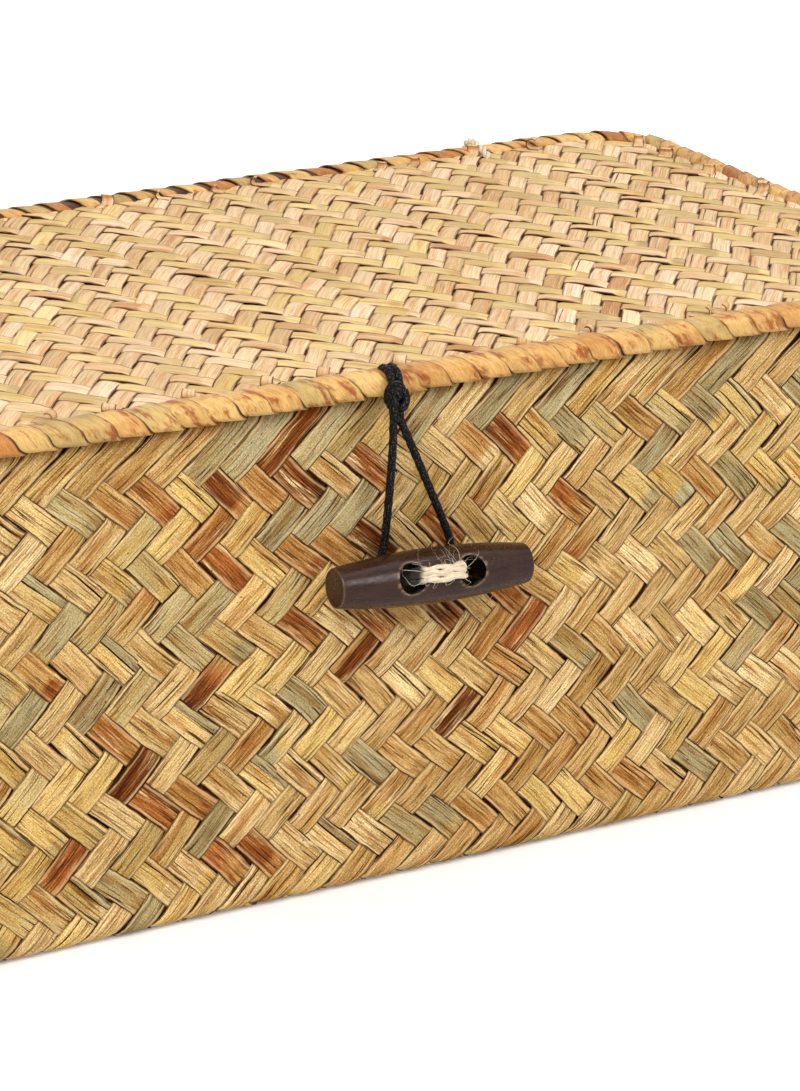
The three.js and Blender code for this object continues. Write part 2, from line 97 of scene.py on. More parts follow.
PALE_EDGE = srgb(240, 212, 160)
HAIR_LINE = srgb(118, 72, 30)
CRACK_LINE = srgb(64, 33, 10)
SPECK_SPOT = srgb(88, 54, 24)
# the warm brown of the painted shade where strips dip under their neighbours
PAINTED_RECESS_SHADE = srgb(84, 42, 12)
# the brown of the painted shade on the yarns inside the toggle's holes
TWINE_HOLE_SHADE = srgb(60, 44, 30)
# the near black of the painted shade inside the toggle's holes
BORE_SHADE = srgb(16, 9, 6)
WHITE = (1.0, 1.0, 1.0, 1.0)


class Graph:
    """A node tree with short calls that add and join its nodes."""

    def __init__(self, tree: Tree) -> None:
        """Keeps the tree to build in."""
        self.tree = tree

    def plug(self, node: Node, inputs: dict[Any, Any]) -> None:
        """Gives a node its inputs.

        Args:
            node: The node.
            inputs: Values or sockets, by the input's name or number.
        """
        for key, value in inputs.items():
            if isinstance(value, Socket):
                self.tree.links.new(value, node.inputs[key])
            else:
                node.inputs[key].default_value = value

    def add(self, kind: str, inputs: Optional[dict[Any, Any]] = None, **settings: Any) -> Node:
        """Adds one node.

        Args:
            kind: The node's type name.
            inputs: Values or sockets for its inputs, by name or number.
            **settings: The node's own settings.

        Returns:
            The new node.
        """
        node = self.tree.nodes.new(kind)
        for name, value in settings.items():
            setattr(node, name, value)
        self.plug(node, inputs or {})
        return node

    def math(self, operation: str, first: Any, second: Any) -> Socket:
        """Joins two values by one operation and returns the socket of the result."""
        return self.add("ShaderNodeMath", {0: first, 1: second}, operation=operation).outputs[0]

    def times(self, first: Any, second: Any) -> Socket:
        """Multiplies two values and returns the socket of the result."""
        return self.math("MULTIPLY", first, second)

    def noise(self, vector: Any, scale: Point, detail: float = 2.0, roughness: float = 0.5) -> Socket:
        """Returns the socket of a noise value from 0 to 1, with a scale for each axis."""
        place = self.add("ShaderNodeVectorMath", {0: vector, 1: scale}, operation="MULTIPLY").outputs[0]
        return self.add("ShaderNodeTexNoise", {
            "Vector": place, "Scale": 1.0, "Detail": detail, "Roughness": roughness}).outputs["Fac"]

    def fade(self, value: Any, low: Any, high: Any, to_low: float = 0.0, to_high: float = 1.0) -> Socket:
        """Maps one range of a value smoothly on another and returns the socket of the result."""
        return self.add("ShaderNodeMapRange", {
            "Value": value, "From Min": low, "From Max": high, "To Min": to_low, "To Max": to_high},
            interpolation_type="SMOOTHSTEP").outputs["Result"]

    def mix(self, share: Any, first: Any, second: Any, blend: str = "MIX") -> Socket:
        """Mixes a colour with another one or with a socket and returns the socket of the result."""
        paint = second if isinstance(second, Socket) else (*second, 1.0)
        return self.add("ShaderNodeMix", {0: share, 6: first, 7: paint},
                        data_type="RGBA", blend_type=blend).outputs[2]

    def ramp(self, value: Any, stops: Sequence[tuple[float, Colour]]) -> Socket:
        """Colours a value by a row of stops.

        Args:
            value: The value's socket.
            stops: The place and colour of each stop.

        Returns:
            The socket of the colour.
        """
        node = self.add("ShaderNodeValToRGB", {"Fac": value})
        elements = node.color_ramp.elements
        while len(elements) < len(stops):
            elements.new(1.0)
        for element, (place, colour) in zip(elements, stops):
            element.position = place
            element.color = (*colour, 1.0)
        return node.outputs["Color"]

    def bump(self, height: Any, strength: float, distance: float) -> Socket:
        """Returns the socket of a normal that follows a height."""
        return self.add("ShaderNodeBump", {
            "Height": height, "Strength": strength, "Distance": distance}).outputs["Normal"]

    def attribute(self, name: str) -> Socket:
        """Returns the socket of one of the mesh's own values."""
        return self.add("ShaderNodeAttribute", attribute_name=name).outputs["Fac"]

    def uv(self) -> Socket:
        """Returns the socket of the UV map along the strips or the cord."""
        return self.add("ShaderNodeUVMap", uv_map=UV_NAME).outputs["UV"]


def new_group(name: str, inputs: dict[str, str], outputs: dict[str, str]) -> tuple[Graph, Any, Node]:
    """Starts a shader group with named sockets.

    Args:
        name: The group's name.
        inputs: The kind of each input, by name.
        outputs: The kind of each output, by name.

    Returns:
        The group's graph, the sockets of its inputs, and the node that takes its outputs.
    """
    graph = Graph(bpy.data.node_groups.new(name, "ShaderNodeTree"))
    for direction, sockets in (("INPUT", inputs), ("OUTPUT", outputs)):
        for socket, kind in sockets.items():
            graph.tree.interface.new_socket(socket, in_out=direction, socket_type=f"NodeSocket{kind}")
    return graph, graph.add("NodeGroupInput").outputs, graph.add("NodeGroupOutput")


def strip_fibre_group() -> Tree:
    """Builds the streaks, cracks, stains and specks that run along a dry strip, and the painted shade along
    its edges.

    Returns:
        The group.
    """
    names = ("Streak", "Hair", "Crack", "Stain", "Speck", "Edge", "Pale", "Grit")
    graph, given, end = new_group(
        "strip_fibres", {"Strip UV": "Vector", "Edge Width": "Float"}, dict.fromkeys(names, "Float"))
    uv = given["Strip UV"]
    broad = graph.noise(uv, (0.6, 5.0, 1.0), 3.0, 0.6)
    fine = graph.noise(uv, (2.0, 19.0, 1.0), 2.0, 0.65)
    streak = graph.math("ADD", graph.times(broad, 0.45), graph.times(fine, 0.55))
    hair = graph.fade(graph.noise(uv, (0.95, 14.0, 1.0), 2.0, 0.6), 0.55, 0.62)
    crack = graph.fade(graph.noise(uv, (0.6, 9.5, 1.0), 2.0, 0.6), 0.62, 0.66)
    stain = graph.fade(graph.noise(uv, (0.45, 2.2, 1.0), 4.0, 0.65), 0.5, 0.64)
    speck = graph.fade(graph.noise(uv, (17.0, 8.5, 1.0), 1.0, 0.4), 0.71, 0.75)
    grit = graph.noise(uv, (30.0, 17.0, 1.0), 2.0, 0.6)
    across = graph.add("ShaderNodeSeparateXYZ", {"Vector": uv}).outputs["Y"]
    across = graph.math("FRACT", graph.math("ADD", across, 0.5), 0.0)
    inside = graph.math("MINIMUM", across, graph.math("SUBTRACT", 1.0, across))
    ragged = graph.times(graph.math("SUBTRACT", broad, 0.35), 0.12)
    inside = graph.math("SUBTRACT", inside, ragged)
    # painted shade along both edges of the strip, where it meets the gaps between strips, broken into patches
    # by noise
    worn = graph.fade(graph.noise(uv, (1.3, 1.7, 1.0)), 0.4, 0.58, 0.45, 1.0)
    edge = graph.times(graph.fade(inside, 0.005, given["Edge Width"], 1.0, 0.0), worn)
    pale = graph.times(graph.fade(inside, 0.03, 0.06), graph.fade(inside, 0.08, 0.17, 1.0, 0.0))
    graph.plug(end, dict(zip(names, (streak, hair, crack, stain, speck, edge, pale, grit))))
    return graph.tree


def recess_shade_group() -> Tree:
    """Builds the painted shade, a warm brown darkening, where a strip dips under its neighbours.

    Returns:
        The group.
    """
    graph, given, end = new_group(
        "recess_brown", {"Color": "Color", "Height": "Float", "Amount": "Float"}, {"Color": "Color"})
    share = graph.times(graph.fade(given["Height"], -0.7, -0.05, 1.0, 0.0), given["Amount"])
    graph.plug(end, {"Color": graph.mix(share, given["Color"], PAINTED_RECESS_SHADE, "MULTIPLY")})
    return graph.tree


FIBRES = strip_fibre_group()
RECESS_SHADE_GROUP = recess_shade_group()


def new_material(name: str) -> tuple[Material, Graph, Node]:
    """Starts a material.

    Args:
        name: The material's name.

    Returns:
        The material, its graph and its surface shader.
    """
    material = bpy.data.materials.new(name)
    material.use_nodes = True
    return material, Graph(material.node_tree), material.node_tree.nodes["Principled BSDF"]


@dataclass(frozen=True)
class StripFinish:
    """The look of dry strips: its tones, how strongly fibres and dirt show, and how dark its painted shade
    is.
    """

    name: str
    tones: tuple[tuple[float, Colour], ...]
    stain: Colour
    streaks: float
    cracks: float
    stains: float
    specks: float
    # how strongly the painted shade along the strips' edges shows
    edges: float
    # how strongly the painted shade darkens a strip where it dips under its neighbours
    recess: float
    roughness: float
    bump: float
    edge_width: float = 0.045
    edge_shade_colour: Colour = srgb(58, 27, 7)
    pale_edge: float = 0.0
    grit: float = 0.06
    gloss: float = 0.12
    drift: float = 0.07

    def build(self) -> Material:
        """Builds the material, which reads the strip's tone, shade, height and UV map.

        Returns:
            The material.
        """
        material, graph, shader = new_material(self.name)
        marks = graph.add("ShaderNodeGroup", {
            "Strip UV": graph.uv(), "Edge Width": self.edge_width}, node_tree=FIBRES).outputs
        streak = marks["Streak"]
        tone = graph.attribute("tone")
        drift = graph.fade(streak, 0.3, 0.7, -self.drift, self.drift)
        colour = graph.ramp(graph.math("ADD", tone, drift), self.tones)
        # pale strips are stained, and brown ones have torn patches of a paler tone
        stained = graph.times(marks["Stain"], graph.fade(tone, 0.2, 0.3, 0.0, self.stains))
        colour = graph.mix(stained, colour, self.stain, "MULTIPLY")
        torn = graph.times(marks["Stain"], graph.fade(tone, 0.14, 0.26, 0.9, 0.0))
        torn = graph.times(torn, graph.fade(streak, 0.44, 0.58, 0.1, 1.0))
        colour = graph.mix(torn, colour, self.tones[-4][1])
        # darker places are also warmer
        bright = graph.fade(streak, 0.3, 0.68, 1.0 - self.streaks, 1.0 + 0.6 * self.streaks)
        bright = graph.times(bright, graph.attribute("shade"))
        bright = graph.times(bright, graph.fade(marks["Grit"], 0.25, 0.75, 1.0 - self.grit, 1.0 + self.grit))
        warm = graph.add("ShaderNodeCombineColor", {
            "Red": bright, "Green": graph.math("POWER", bright, 1.25),
            "Blue": graph.math("POWER", bright, 1.8)}).outputs["Color"]
        colour = graph.mix(1.0, colour, warm, "MULTIPLY")
        # hair lines, cracks and specks are the strip's own marks; the edge mark is painted shade along its
        # edges
        for name, amount, paint, blend in (
                ("Pale", self.pale_edge, PALE_EDGE, "MIX"),
                ("Hair", 0.75 * self.cracks, HAIR_LINE, "MULTIPLY"),
                ("Crack", self.cracks, CRACK_LINE, "MIX"),
                ("Speck", self.specks, SPECK_SPOT, "MIX"),
                ("Edge", self.edges, self.edge_shade_colour, "MIX")):
            colour = graph.mix(graph.times(marks[name], amount), colour, paint, blend)
        # painted shade: a warm brown darkening where the strip dips under its neighbours
        colour = graph.add("ShaderNodeGroup", {
            "Color": colour, "Height": graph.attribute("height"), "Amount": self.recess},
            node_tree=RECESS_SHADE_GROUP).outputs["Color"]
        relief = graph.math("SUBTRACT", streak, graph.times(marks["Crack"], 0.5))
        graph.plug(shader, {
            "Base Color": colour, "Normal": graph.bump(relief, self.bump, 0.15 * MM),
            "Roughness": graph.fade(streak, 0.25, 0.75, self.roughness + 0.12, self.roughness - 0.06),
            "Specular IOR Level": self.gloss})
        return material


WALL_FINISH = StripFinish(
    "wall_grass", (
        (0.00, srgb(106, 56, 24)), (0.12, srgb(160, 92, 42)), (0.27, srgb(186, 139, 78)),
        (0.42, srgb(193, 155, 95)), (0.56, srgb(202, 168, 110)), (0.70, srgb(220, 187, 130)),
        (0.80, srgb(217, 180, 104)), (0.90, srgb(184, 161, 109)), (1.00, srgb(164, 147, 105))),
    stain=srgb(208, 164, 114), streaks=0.35, cracks=0.95, stains=0.7, specks=0.85, edges=0.97, recess=0.97,
    roughness=0.56, bump=0.9, edge_width=0.037, pale_edge=0.35, grit=0.34, gloss=0.03)
LID_FINISH = StripFinish(
    "lid_grass", (
        (0.00, srgb(198, 145, 97)), (0.20, srgb(228, 188, 138)), (0.45, srgb(236, 202, 155)),
        (0.65, srgb(241, 209, 171)), (0.80, srgb(236, 205, 138)), (1.00, srgb(208, 181, 130))),
    stain=srgb(230, 184, 136), streaks=0.17, cracks=0.3, stains=0.55, specks=0.2, edges=0.95, recess=0.95,
    roughness=0.5, bump=0.4, edge_width=0.09, edge_shade_colour=srgb(92, 42, 14), gloss=0.06)
LINING_FINISH = StripFinish(
    "lining_grass", (
        (0.00, srgb(176, 128, 74)), (0.35, srgb(208, 166, 108)), (0.70, srgb(224, 188, 130)),
        (1.00, srgb(186, 164, 108))),
    stain=srgb(220, 170, 120), streaks=0.2, cracks=0.4, stains=0.4, specks=0.3, edges=0.6, recess=0.85,
    roughness=0.6, bump=0.4)
BINDING_FINISH = StripFinish(
    "binding_grass", (
        (0.00, srgb(146, 82, 30)), (0.18, srgb(184, 116, 50)), (0.45, srgb(206, 152, 82)),
        (0.75, srgb(220, 176, 104)), (1.00, srgb(190, 158, 94))),
    stain=srgb(186, 122, 62), streaks=0.2, cracks=0.2, stains=0.95, specks=0.4, edges=0.6, recess=0.97,
    roughness=0.42, bump=0.25, edge_width=0.03, gloss=0.35, drift=0.05)


@dataclass(frozen=True)
class TwineFinish:
    """Loosely spun cream twine."""

    light: Colour = srgb(240, 226, 200)
    dark: Colour = srgb(196, 172, 134)

    def build(self) -> Material:
        """Builds the material from long fibres along the UV map, darkened by painted shade where the yarns
        run inside the toggle's holes.

        Returns:
            The material.
        """
        material, graph, shader = new_material("spun_twine")
        fibre = graph.noise(graph.uv(), (5.0, 9.0, 1.0), 3.0, 0.65)
        colour = graph.ramp(fibre, ((0.3, self.dark), (0.62, self.light)))
        graph.plug(shader, {
            # painted shade darkens the yarns inside the toggle's holes
            "Base Color": graph.mix(graph.attribute("soiled"), colour, TWINE_HOLE_SHADE, "MULTIPLY"),
            "Normal": graph.bump(fibre, 0.6, 0.15 * MM), "Roughness": 0.85, "Sheen Weight": 0.25})
        return material


@dataclass(frozen=True)
class ElasticFinish:
    """Black braided elastic whose braid has painted highlights: grey glints in its colour."""

    thread: Colour = srgb(10, 8, 8)
    painted_glint: Colour = srgb(92, 88, 86)

    def build(self) -> Material:
        """Builds the material from short threads along the UV map.

        Returns:
            The material.
        """
        material, graph, shader = new_material("braided_elastic")
        thread = graph.noise(graph.uv(), (26.0, 14.0, 1.0), 2.0, 0.6)
        graph.plug(shader, {
            # painted highlight: sparse grey glints in the base colour
            "Base Color": graph.ramp(thread, ((0.54, self.thread), (0.72, self.painted_glint))),
            "Roughness": graph.fade(thread, 0.3, 0.7, 0.7, 0.45), "Specular IOR Level": 0.1})
        return material


@dataclass(frozen=True)
class WoodFinish:
    """Dark stained wood with a satin face and worn edges."""

    dark: Colour = srgb(40, 21, 14)
    light: Colour = srgb(60, 35, 25)
    worn: Colour = srgb(150, 122, 100)

    def build(self) -> Material:
        """Builds the material from grain along the toggle, from its stored wear, and from the painted shade
        stored inside its holes.

        Returns:
            The material.
        """
        material, graph, shader = new_material("stained_wood")
        place = graph.add("ShaderNodeTexCoord").outputs["Object"]
        grain = graph.noise(place, (160.0, 900.0, 900.0), 4.0, 0.6)
        fine = graph.noise(place, (900.0, 2600.0, 2600.0), 2.0, 0.5)
        colour = graph.ramp(grain, ((0.3, self.dark), (0.7, self.light)))
        wear = graph.times(graph.attribute("wear"), graph.fade(grain, 0.25, 0.5, 0.75, 1.0))
        colour = graph.mix(wear, colour, self.worn)
        relief = graph.math("ADD", grain, graph.times(fine, 0.7))
        graph.plug(shader, {
            # painted shade: the walls of the holes are darkened nearly to black
            "Base Color": graph.mix(graph.attribute("bore"), colour, BORE_SHADE),
            "Normal": graph.bump(relief, 0.5, 0.08 * MM),
            "Roughness": graph.fade(fine, 0.3, 0.7, 0.18, 0.34), "Specular IOR Level": 0.24})
        return material


@dataclass
class Track:
    """A flat path of straight legs and arcs, with the side that faces away on its right."""

    start: tuple[float, float]
    heading: float
    legs: Sequence[tuple[float, float]]

    @property
    def length(self) -> float:
        """The path's whole length."""
        return sum(leg for leg, _ in self.legs)

    def at(self, distance: Array) -> tuple[Array, Array]:
        """Finds places on the path.

        Args:
            distance: Distances from the start.

        Returns:
            The points and the directions that face away, one row for each distance.
        """
        starts, corners, headings = [0.0], [np.array(self.start)], [self.heading]
        for leg, turn in self.legs:
            corners.append(corners[-1] + self._step(leg, turn, headings[-1], np.array([leg]))[0])
            headings.append(headings[-1] + turn)
            starts.append(starts[-1] + leg)
        which = np.clip(np.searchsorted(starts, distance, side="right") - 1, 0, len(self.legs) - 1)
        points = np.empty((len(distance), 2))
        away = np.empty((len(distance), 2))
        for number, (leg, turn) in enumerate(self.legs):
            chosen = which == number
            into = distance[chosen] - starts[number]
            points[chosen] = corners[number] + self._step(leg, turn, headings[number], into)
            angle = headings[number] + turn * into / leg
            away[chosen] = np.stack([np.sin(angle), -np.cos(angle)], 1)
        return points, away

    @staticmethod
    def _step(leg: float, turn: float, heading: float, into: Array) -> Array:
        """Moves along one leg.

        Args:
            leg: The leg's length.
            turn: The angle that it turns through, 0 for a straight one.
            heading: Its direction at the start.
            into: Distances along it.

        Returns:
            The offsets from where the leg starts.
        """
        if abs(turn) < 1e-9:
            return np.outer(into, (math.cos(heading), math.sin(heading)))
        radius = leg / turn
        angle = heading + into / radius
        return radius * np.stack([np.sin(angle) - math.sin(heading), math.cos(heading) - np.cos(angle)], 1)


class Twill(Enum):
    """Which way the floats of a two-over-two plait line up."""

    ROWS = "along the wall"
    COLUMNS = "from front to back"


class Lean(Enum):
    """The two ways in which strips cross the plait."""

    RISING = 1
    FALLING = -1


class Side(Enum):
    """Which side of a wall a plait shows on."""

    OUTSIDE = 1
    INSIDE = -1


class Face(Enum):
    """Which way a flat sheet's good side faces."""

    UP = 1
    DOWN = -1


@dataclass(frozen=True)
class StripCut:
    """How the strips of a plait are cut and laid."""

    pitch: float
    fill: float = 0.965
    thickness: float = 0.4 * MM
    lift: float = 0.32 * MM
    crown: float = 0.07 * MM
    roll: float = 0.10 * MM
    warp: float = 0.55 * MM
    uneven: float = 0.03
    wander: float = 0.10 * MM
    split_share: float = 0.36
    bite: float = 3.0
    step: float = 1.3 * MM
    across: int = 4


@dataclass(frozen=True)
class ToneBook:
    """Which tones the strips of a plait have."""

    tones: tuple[float, ...]
    weights: tuple[float, ...]
    drift: float = 0.05
    contrast: float = 0.09
    browned: tuple[tuple[Lean, int, float, float], ...] = ()
    browned_tone: float = 0.08
    browned_fade: float = 12 * MM
    dull_tone: Optional[float] = None
    around: float = 0.0

    def pick(self, draw: np.random.Generator, count: int) -> Array:
        """Draws one tone for each strip."""
        weights = np.array(self.weights) / sum(self.weights)
        return draw.choice(self.tones, count, p=weights) + draw.normal(0.0, 0.025, count)


# the lengths of strip that are browned: lean, number, and where they begin and end
BROWNED = tuple((lean, number, low * MM, high * MM) for lean, number, low, high in (
    (Lean.FALLING, 4, 44, 110), (Lean.FALLING, 6, 44, 110), (Lean.FALLING, 8, 44, 110),
    (Lean.FALLING, 10, 44, 110), (Lean.FALLING, 1, 22, 44), (Lean.RISING, 86, 55, 110),
    (Lean.RISING, 90, 5, 60), (Lean.RISING, 94, 30, 84), (Lean.FALLING, 98, 0, 45),
    (Lean.FALLING, 103, 8, 58), (Lean.RISING, 99, 15, 70), (Lean.RISING, 104, 52, 110),
    (Lean.FALLING, 14, 60, 110)))
WALL_TONES = ToneBook((0.27, 0.40, 0.52, 0.64, 0.77, 0.90, 0.98), (0.06, 0.17, 0.21, 0.2, 0.08, 0.19, 0.09),
                      browned=BROWNED, around=0.1)
LID_TONES = ToneBook((0.12, 0.3, 0.45, 0.6, 0.78), (0.06, 0.24, 0.34, 0.24, 0.12),
                     contrast=0.08, dull_tone=0.94)
LINING_TONES = ToneBook((0.3, 0.5, 0.7, 0.95), (0.2, 0.4, 0.3, 0.1))


def lining_cut(pitch: float, lift: float = 0.3 * MM) -> StripCut:
    """Returns the cut of the broad plain strips of the lining and the undersides."""
    return StripCut(pitch, step=2.6 * MM, across=2, split_share=0.0, lift=lift)


@dataclass
class Plait:
    """One plaited layer: strips of both leans, woven flat and then wrapped on a form."""

    name: str
    cut: StripCut
    twill: Twill
    tones: ToneBook
    wrap: Wrap
    low: float
    high: float
    half_width: Optional[float] = None
    round_length: Optional[float] = None
    start_rising: float = 0.0
    start_falling: float = 0.0
    mouth_bend: float = 0.0
    mouth_from: float = 0.0
    last_row: float = 1.0
    level_zone: float = 1.3
    shares: int = 1
    seed: int = 1

    def strips(self, lean: Lean) -> tuple[Array, Array, Array, Array]:
        """Lists the strips of one lean.

        Args:
            lean: Which way the strips cross.

        Returns:
            Each strip's number, its place across the plait, and where it starts and ends.
        """
        start = self.start_rising if lean is Lean.RISING else self.start_falling
        pitch = self.cut.pitch
        if self.round_length is not None:
            numbers = np.arange(round(self.round_length / pitch))
            whole = np.ones(len(numbers))
            return numbers, start + numbers * pitch, self.low * whole, self.high * whole
        reach = self.half_width + max(abs(self.low), abs(self.high))
        numbers = np.arange(-int(reach / pitch) - 1, int(reach / pitch) + 2)
        places = start + numbers * pitch
        begin = np.maximum(self.low, -self.half_width - places * lean.value)
        end = np.minimum(self.high, self.half_width - places * lean.value)
        kept = end - begin > 1.5 * pitch
        return numbers[kept], places[kept], begin[kept], end[kept]

    def phase(self, p: Array, q: Array) -> Array:
        """Counts strips across the twill's rows or columns.

        Args:
            p: Places along the flat plait.
            q: Places across it.

        Returns:
            The count, which changes by 4 from one float to the next of the same strip.
        """
        if self.twill is Twill.ROWS:
            rows = self.start_falling - self.start_rising - 2 * np.minimum(q, self.last_row)
            return rows / self.cut.pitch
        return (2 * p - self.start_rising - self.start_falling) / self.cut.pitch

    def warped(self, p: Array, q: Array) -> tuple[Array, Array]:
        """Shifts places in the flat plait a little, as uneven handwork does.

        Args:
            p: Places along the plait.
            q: Places across it.

        Returns:
            The shifted places.
        """
        turn = 2 * np.pi / (self.round_length or 0.36)
        lead = self.cut.warp * (np.sin(5 * turn * p + 31 * q) + 0.6 * np.sin(11 * turn * p - 83 * q + 1.3))
        climb = self.cut.warp * (np.sin(7 * turn * p + 47 * q + 2.1) + 0.5 * np.sin(13 * turn * p - 61 * q))
        return p + lead, q + climb

    def weave(self, lean: Lean, share: int) -> Mesh:
        """Weaves the strips of one lean that make one share of the plait.

        Rates of the waves along a strip are in radians for each metre.

        Args:
            lean: Which way the strips cross.
            share: Which of the plait's shares.

        Returns:
            The mesh of the strips' upper faces, with their UV map, tones and heights.
        """
        cut, tones, slant = self.cut, self.tones, lean.value
        draw = np.random.default_rng(self.seed * 100 + 10 * share + slant)
        numbers, places, begin, end = (
            np.array_split(values, self.shares)[share] for values in self.strips(lean))
        count = len(numbers)
        split = draw.random(count) < cut.split_share
        segments = max(2, round((end - begin).max() * ROOT_TWO / cut.step))
        mesh, along, strip, lane, across = rule_strips(count, segments, cut.across, split)
        length = (end - begin)[strip]
        run = begin[strip] + along * length

        # where each vertex lies across its strip, from -0.5 to 0.5, with a gap before a sliver
        seam = draw.uniform(0.2, 0.34, count)[strip]
        gap = np.maximum(0.035 + 0.03 * np.sin(run * 300 + 9.0 * strip), 0.0)
        main_edge = np.where(split[strip], 0.5 - seam - gap, 0.5)
        side = np.where(lane == 0, -0.5 + across * (main_edge + 0.5), 0.5 - seam + across * seam)
        phases = draw.uniform(0, 2 * np.pi, (6, count))[:, strip]
        width = cut.pitch / ROOT_TWO * cut.fill
        width = width * draw.uniform(0.98 - cut.uneven, 0.98 + cut.uneven, count)[strip]
        width = width * (1 + 0.032 * np.sin(run * 700 + phases[3] + 9 * side))
        width = width * (1 + 0.02 * np.sin(run * 1900 + phases[4] + 5 * side))
        wander = cut.wander * (np.sin(run * 210 + phases[0]) + 0.5 * np.sin(run * 430 + phases[5]))
        offset = side * width + wander
        if self.round_length is not None:
            # the strips of a round plait are cut level at both ends
            to_end = np.minimum(along, 1 - along) * length
            run = run - np.clip(self.level_zone - to_end / cut.pitch, 0.0, 1.0) * offset / ROOT_TWO

        # how high each vertex lies, and which float of the strip it belongs to
        p = places[strip] + slant * run
        phase = self.phase(p, run)
        rise = slant * np.tanh(cut.bite * np.cos(0.5 * np.pi * (phase + 0.5)))
        floats = np.floor((slant * phase + 2.0) / 4.0).astype(int) % FLOATS
        shades = draw.normal(0.0, 1.0, (count, FLOATS))[strip, floats]
        tilts = draw.normal(0.0, 1.0, (count, FLOATS))[strip, floats]
        p = p - slant * offset / ROOT_TWO
        q = run + offset / ROOT_TWO
        if lean is Lean.RISING:
            p = p + self.mouth_bend * np.maximum(q - self.mouth_from, 0.0) ** 2
        p, q = self.warped(p, q)
        dull = (numbers[strip] % 3 > 0) * (slant < 0) * (tones.dull_tone is not None)
        height = cut.lift * rise * (1 + 0.12 * np.sin(run * 90 + phases[1])) * (1 - 0.4 * dull)
        height = height - cut.crown * (2 * side) ** 2 + cut.roll * tilts * side * (rise > 0)
        height = height + 0.15 * cut.lift * np.sin(run * 330 + 2.0 * phases[5])
        place_vertices(mesh, self.wrap(p, q, height))

        tone = tones.pick(draw, count)[strip]
        tone = tone + dull * 0.75 * ((tones.dull_tone or 0.0) - tone)
        tone = tone + tones.around * np.sin(2 * np.pi * p / (self.round_length or 1.0))
        tone = tone + tones.drift * np.sin(run * 110 + phases[2]) + 0.07 * tilts * (rise > 0)
        for browned_lean, number, low, high in tones.browned:
            if browned_lean is lean:
                near = (numbers[strip] == number) * np.clip((run - low) / tones.browned_fade, 0, 1)
                near = near * np.clip((high - run) / tones.browned_fade, 0, 1)
                tone = tone + near * (tones.browned_tone + 0.08 * tilts - tone)
        tone = np.where(lane == 1, tone + draw.normal(0.04, 0.12, count)[strip], tone)
        shade = 1.0 + tones.contrast * np.clip(shades, -2, 2)
        add_values(mesh, tone=np.clip(tone, 0.0, 1.0), shade=shade, height=rise)
        add_strip_uv(mesh, run * ROOT_TWO * 100 + 7.0 * strip, side + 3.0 * strip)
        return mesh

    def build(self, body: str, slot: str, material: Material, replaces: Sequence[str] = ()) -> None:
        """Makes the pieces of the plait, each strip with its thickness.

        Args:
            body: The body that the pieces ride on.
            slot: The material slot that they stand for; not used.
            material: Their finish.
            replaces: The solids that they stand for.
        """
        for lean, share in itertools.product(Lean, range(self.shares)):
            name = f"{self.name}_{lean.name.lower()}_{share + 1}"
            obj = add_piece(name, self.weave(lean, share), material)
            thicken(obj, self.cut.thickness, 0.0)
            seat(obj, body, replaces)


@dataclass
class WallForm:
    """An upright form that a round plait is wrapped on: a profile carried round an outline."""

    outline: Track
    profile: Track
    side: Side
    start: float = 0.0

    def wrap(self, p: Array, q: Array, height: Array) -> Array:
        """Wraps flat places round the form.

        Args:
            p: Places round the outline.
            q: Places up the profile.
            height: Heights above the form on the plait's side.

        Returns:
            The points in space.
        """
        sign = self.side.value
        section, facing = self.profile.at(np.clip(q - self.start, 0.0, self.profile.length))
        place, away = self.outline.at(np.mod(sign * p, self.outline.length))
        section = section + (sign * height)[:, None] * facing
        return np.column_stack([place + away * section[:, :1], section[:, 1]])

    def even_pitch(self, pitch: float) -> float:
        """Returns the pitch nearest to a wished one that goes round the form in whole strips."""
        return self.outline.length / round(self.outline.length / pitch)

    def plait(self, name: str, cut: StripCut, tones: ToneBook, **settings: Any) -> Plait:
        """Returns a plait of level rows over the whole form."""
        return Plait(name, cut, Twill.ROWS, tones, self.wrap, self.start, self.start + self.profile.length,
                     round_length=self.outline.length, **settings)


@dataclass
class FlatSheet:
    """A level sheet with rounded corners that a plait is laid on."""

    half_x: float
    half_y: float
    radius: float
    level: float
    face: Face
    stretch: float = 1.0

    def wrap(self, p: Array, q: Array, height: Array) -> Array:
        """Lays flat places on the sheet and keeps them inside its corners.

        Args:
            p: Places along the sheet.
            q: Places across it.
            height: Heights above its middle.

        Returns:
            The points in space.
        """
        x = np.clip(p, -self.half_x, self.half_x)
        y = np.clip(q * self.stretch, -self.half_y, self.half_y)
        past_x = np.maximum(np.abs(x) - self.half_x + self.radius, 0.0)
        past_y = np.maximum(np.abs(y) - self.half_y + self.radius, 0.0)
        reach = np.hypot(past_x, past_y)
        pull = 1.0 - np.minimum(1.0, self.radius / np.maximum(reach, 1e-9))
        x = x - np.sign(x) * past_x * pull
        y = y - np.sign(y) * past_y * pull
        return np.column_stack([x, self.face.value * y, self.level + self.face.value * height])

    def plait(self, name: str, cut: StripCut, twill: Twill, tones: ToneBook, **settings: Any) -> Plait:
        """Returns a plait over the whole sheet."""
        reach = self.half_y / self.stretch
        return Plait(name, cut, twill, tones, self.wrap, -reach, reach, half_width=self.half_x, **settings)


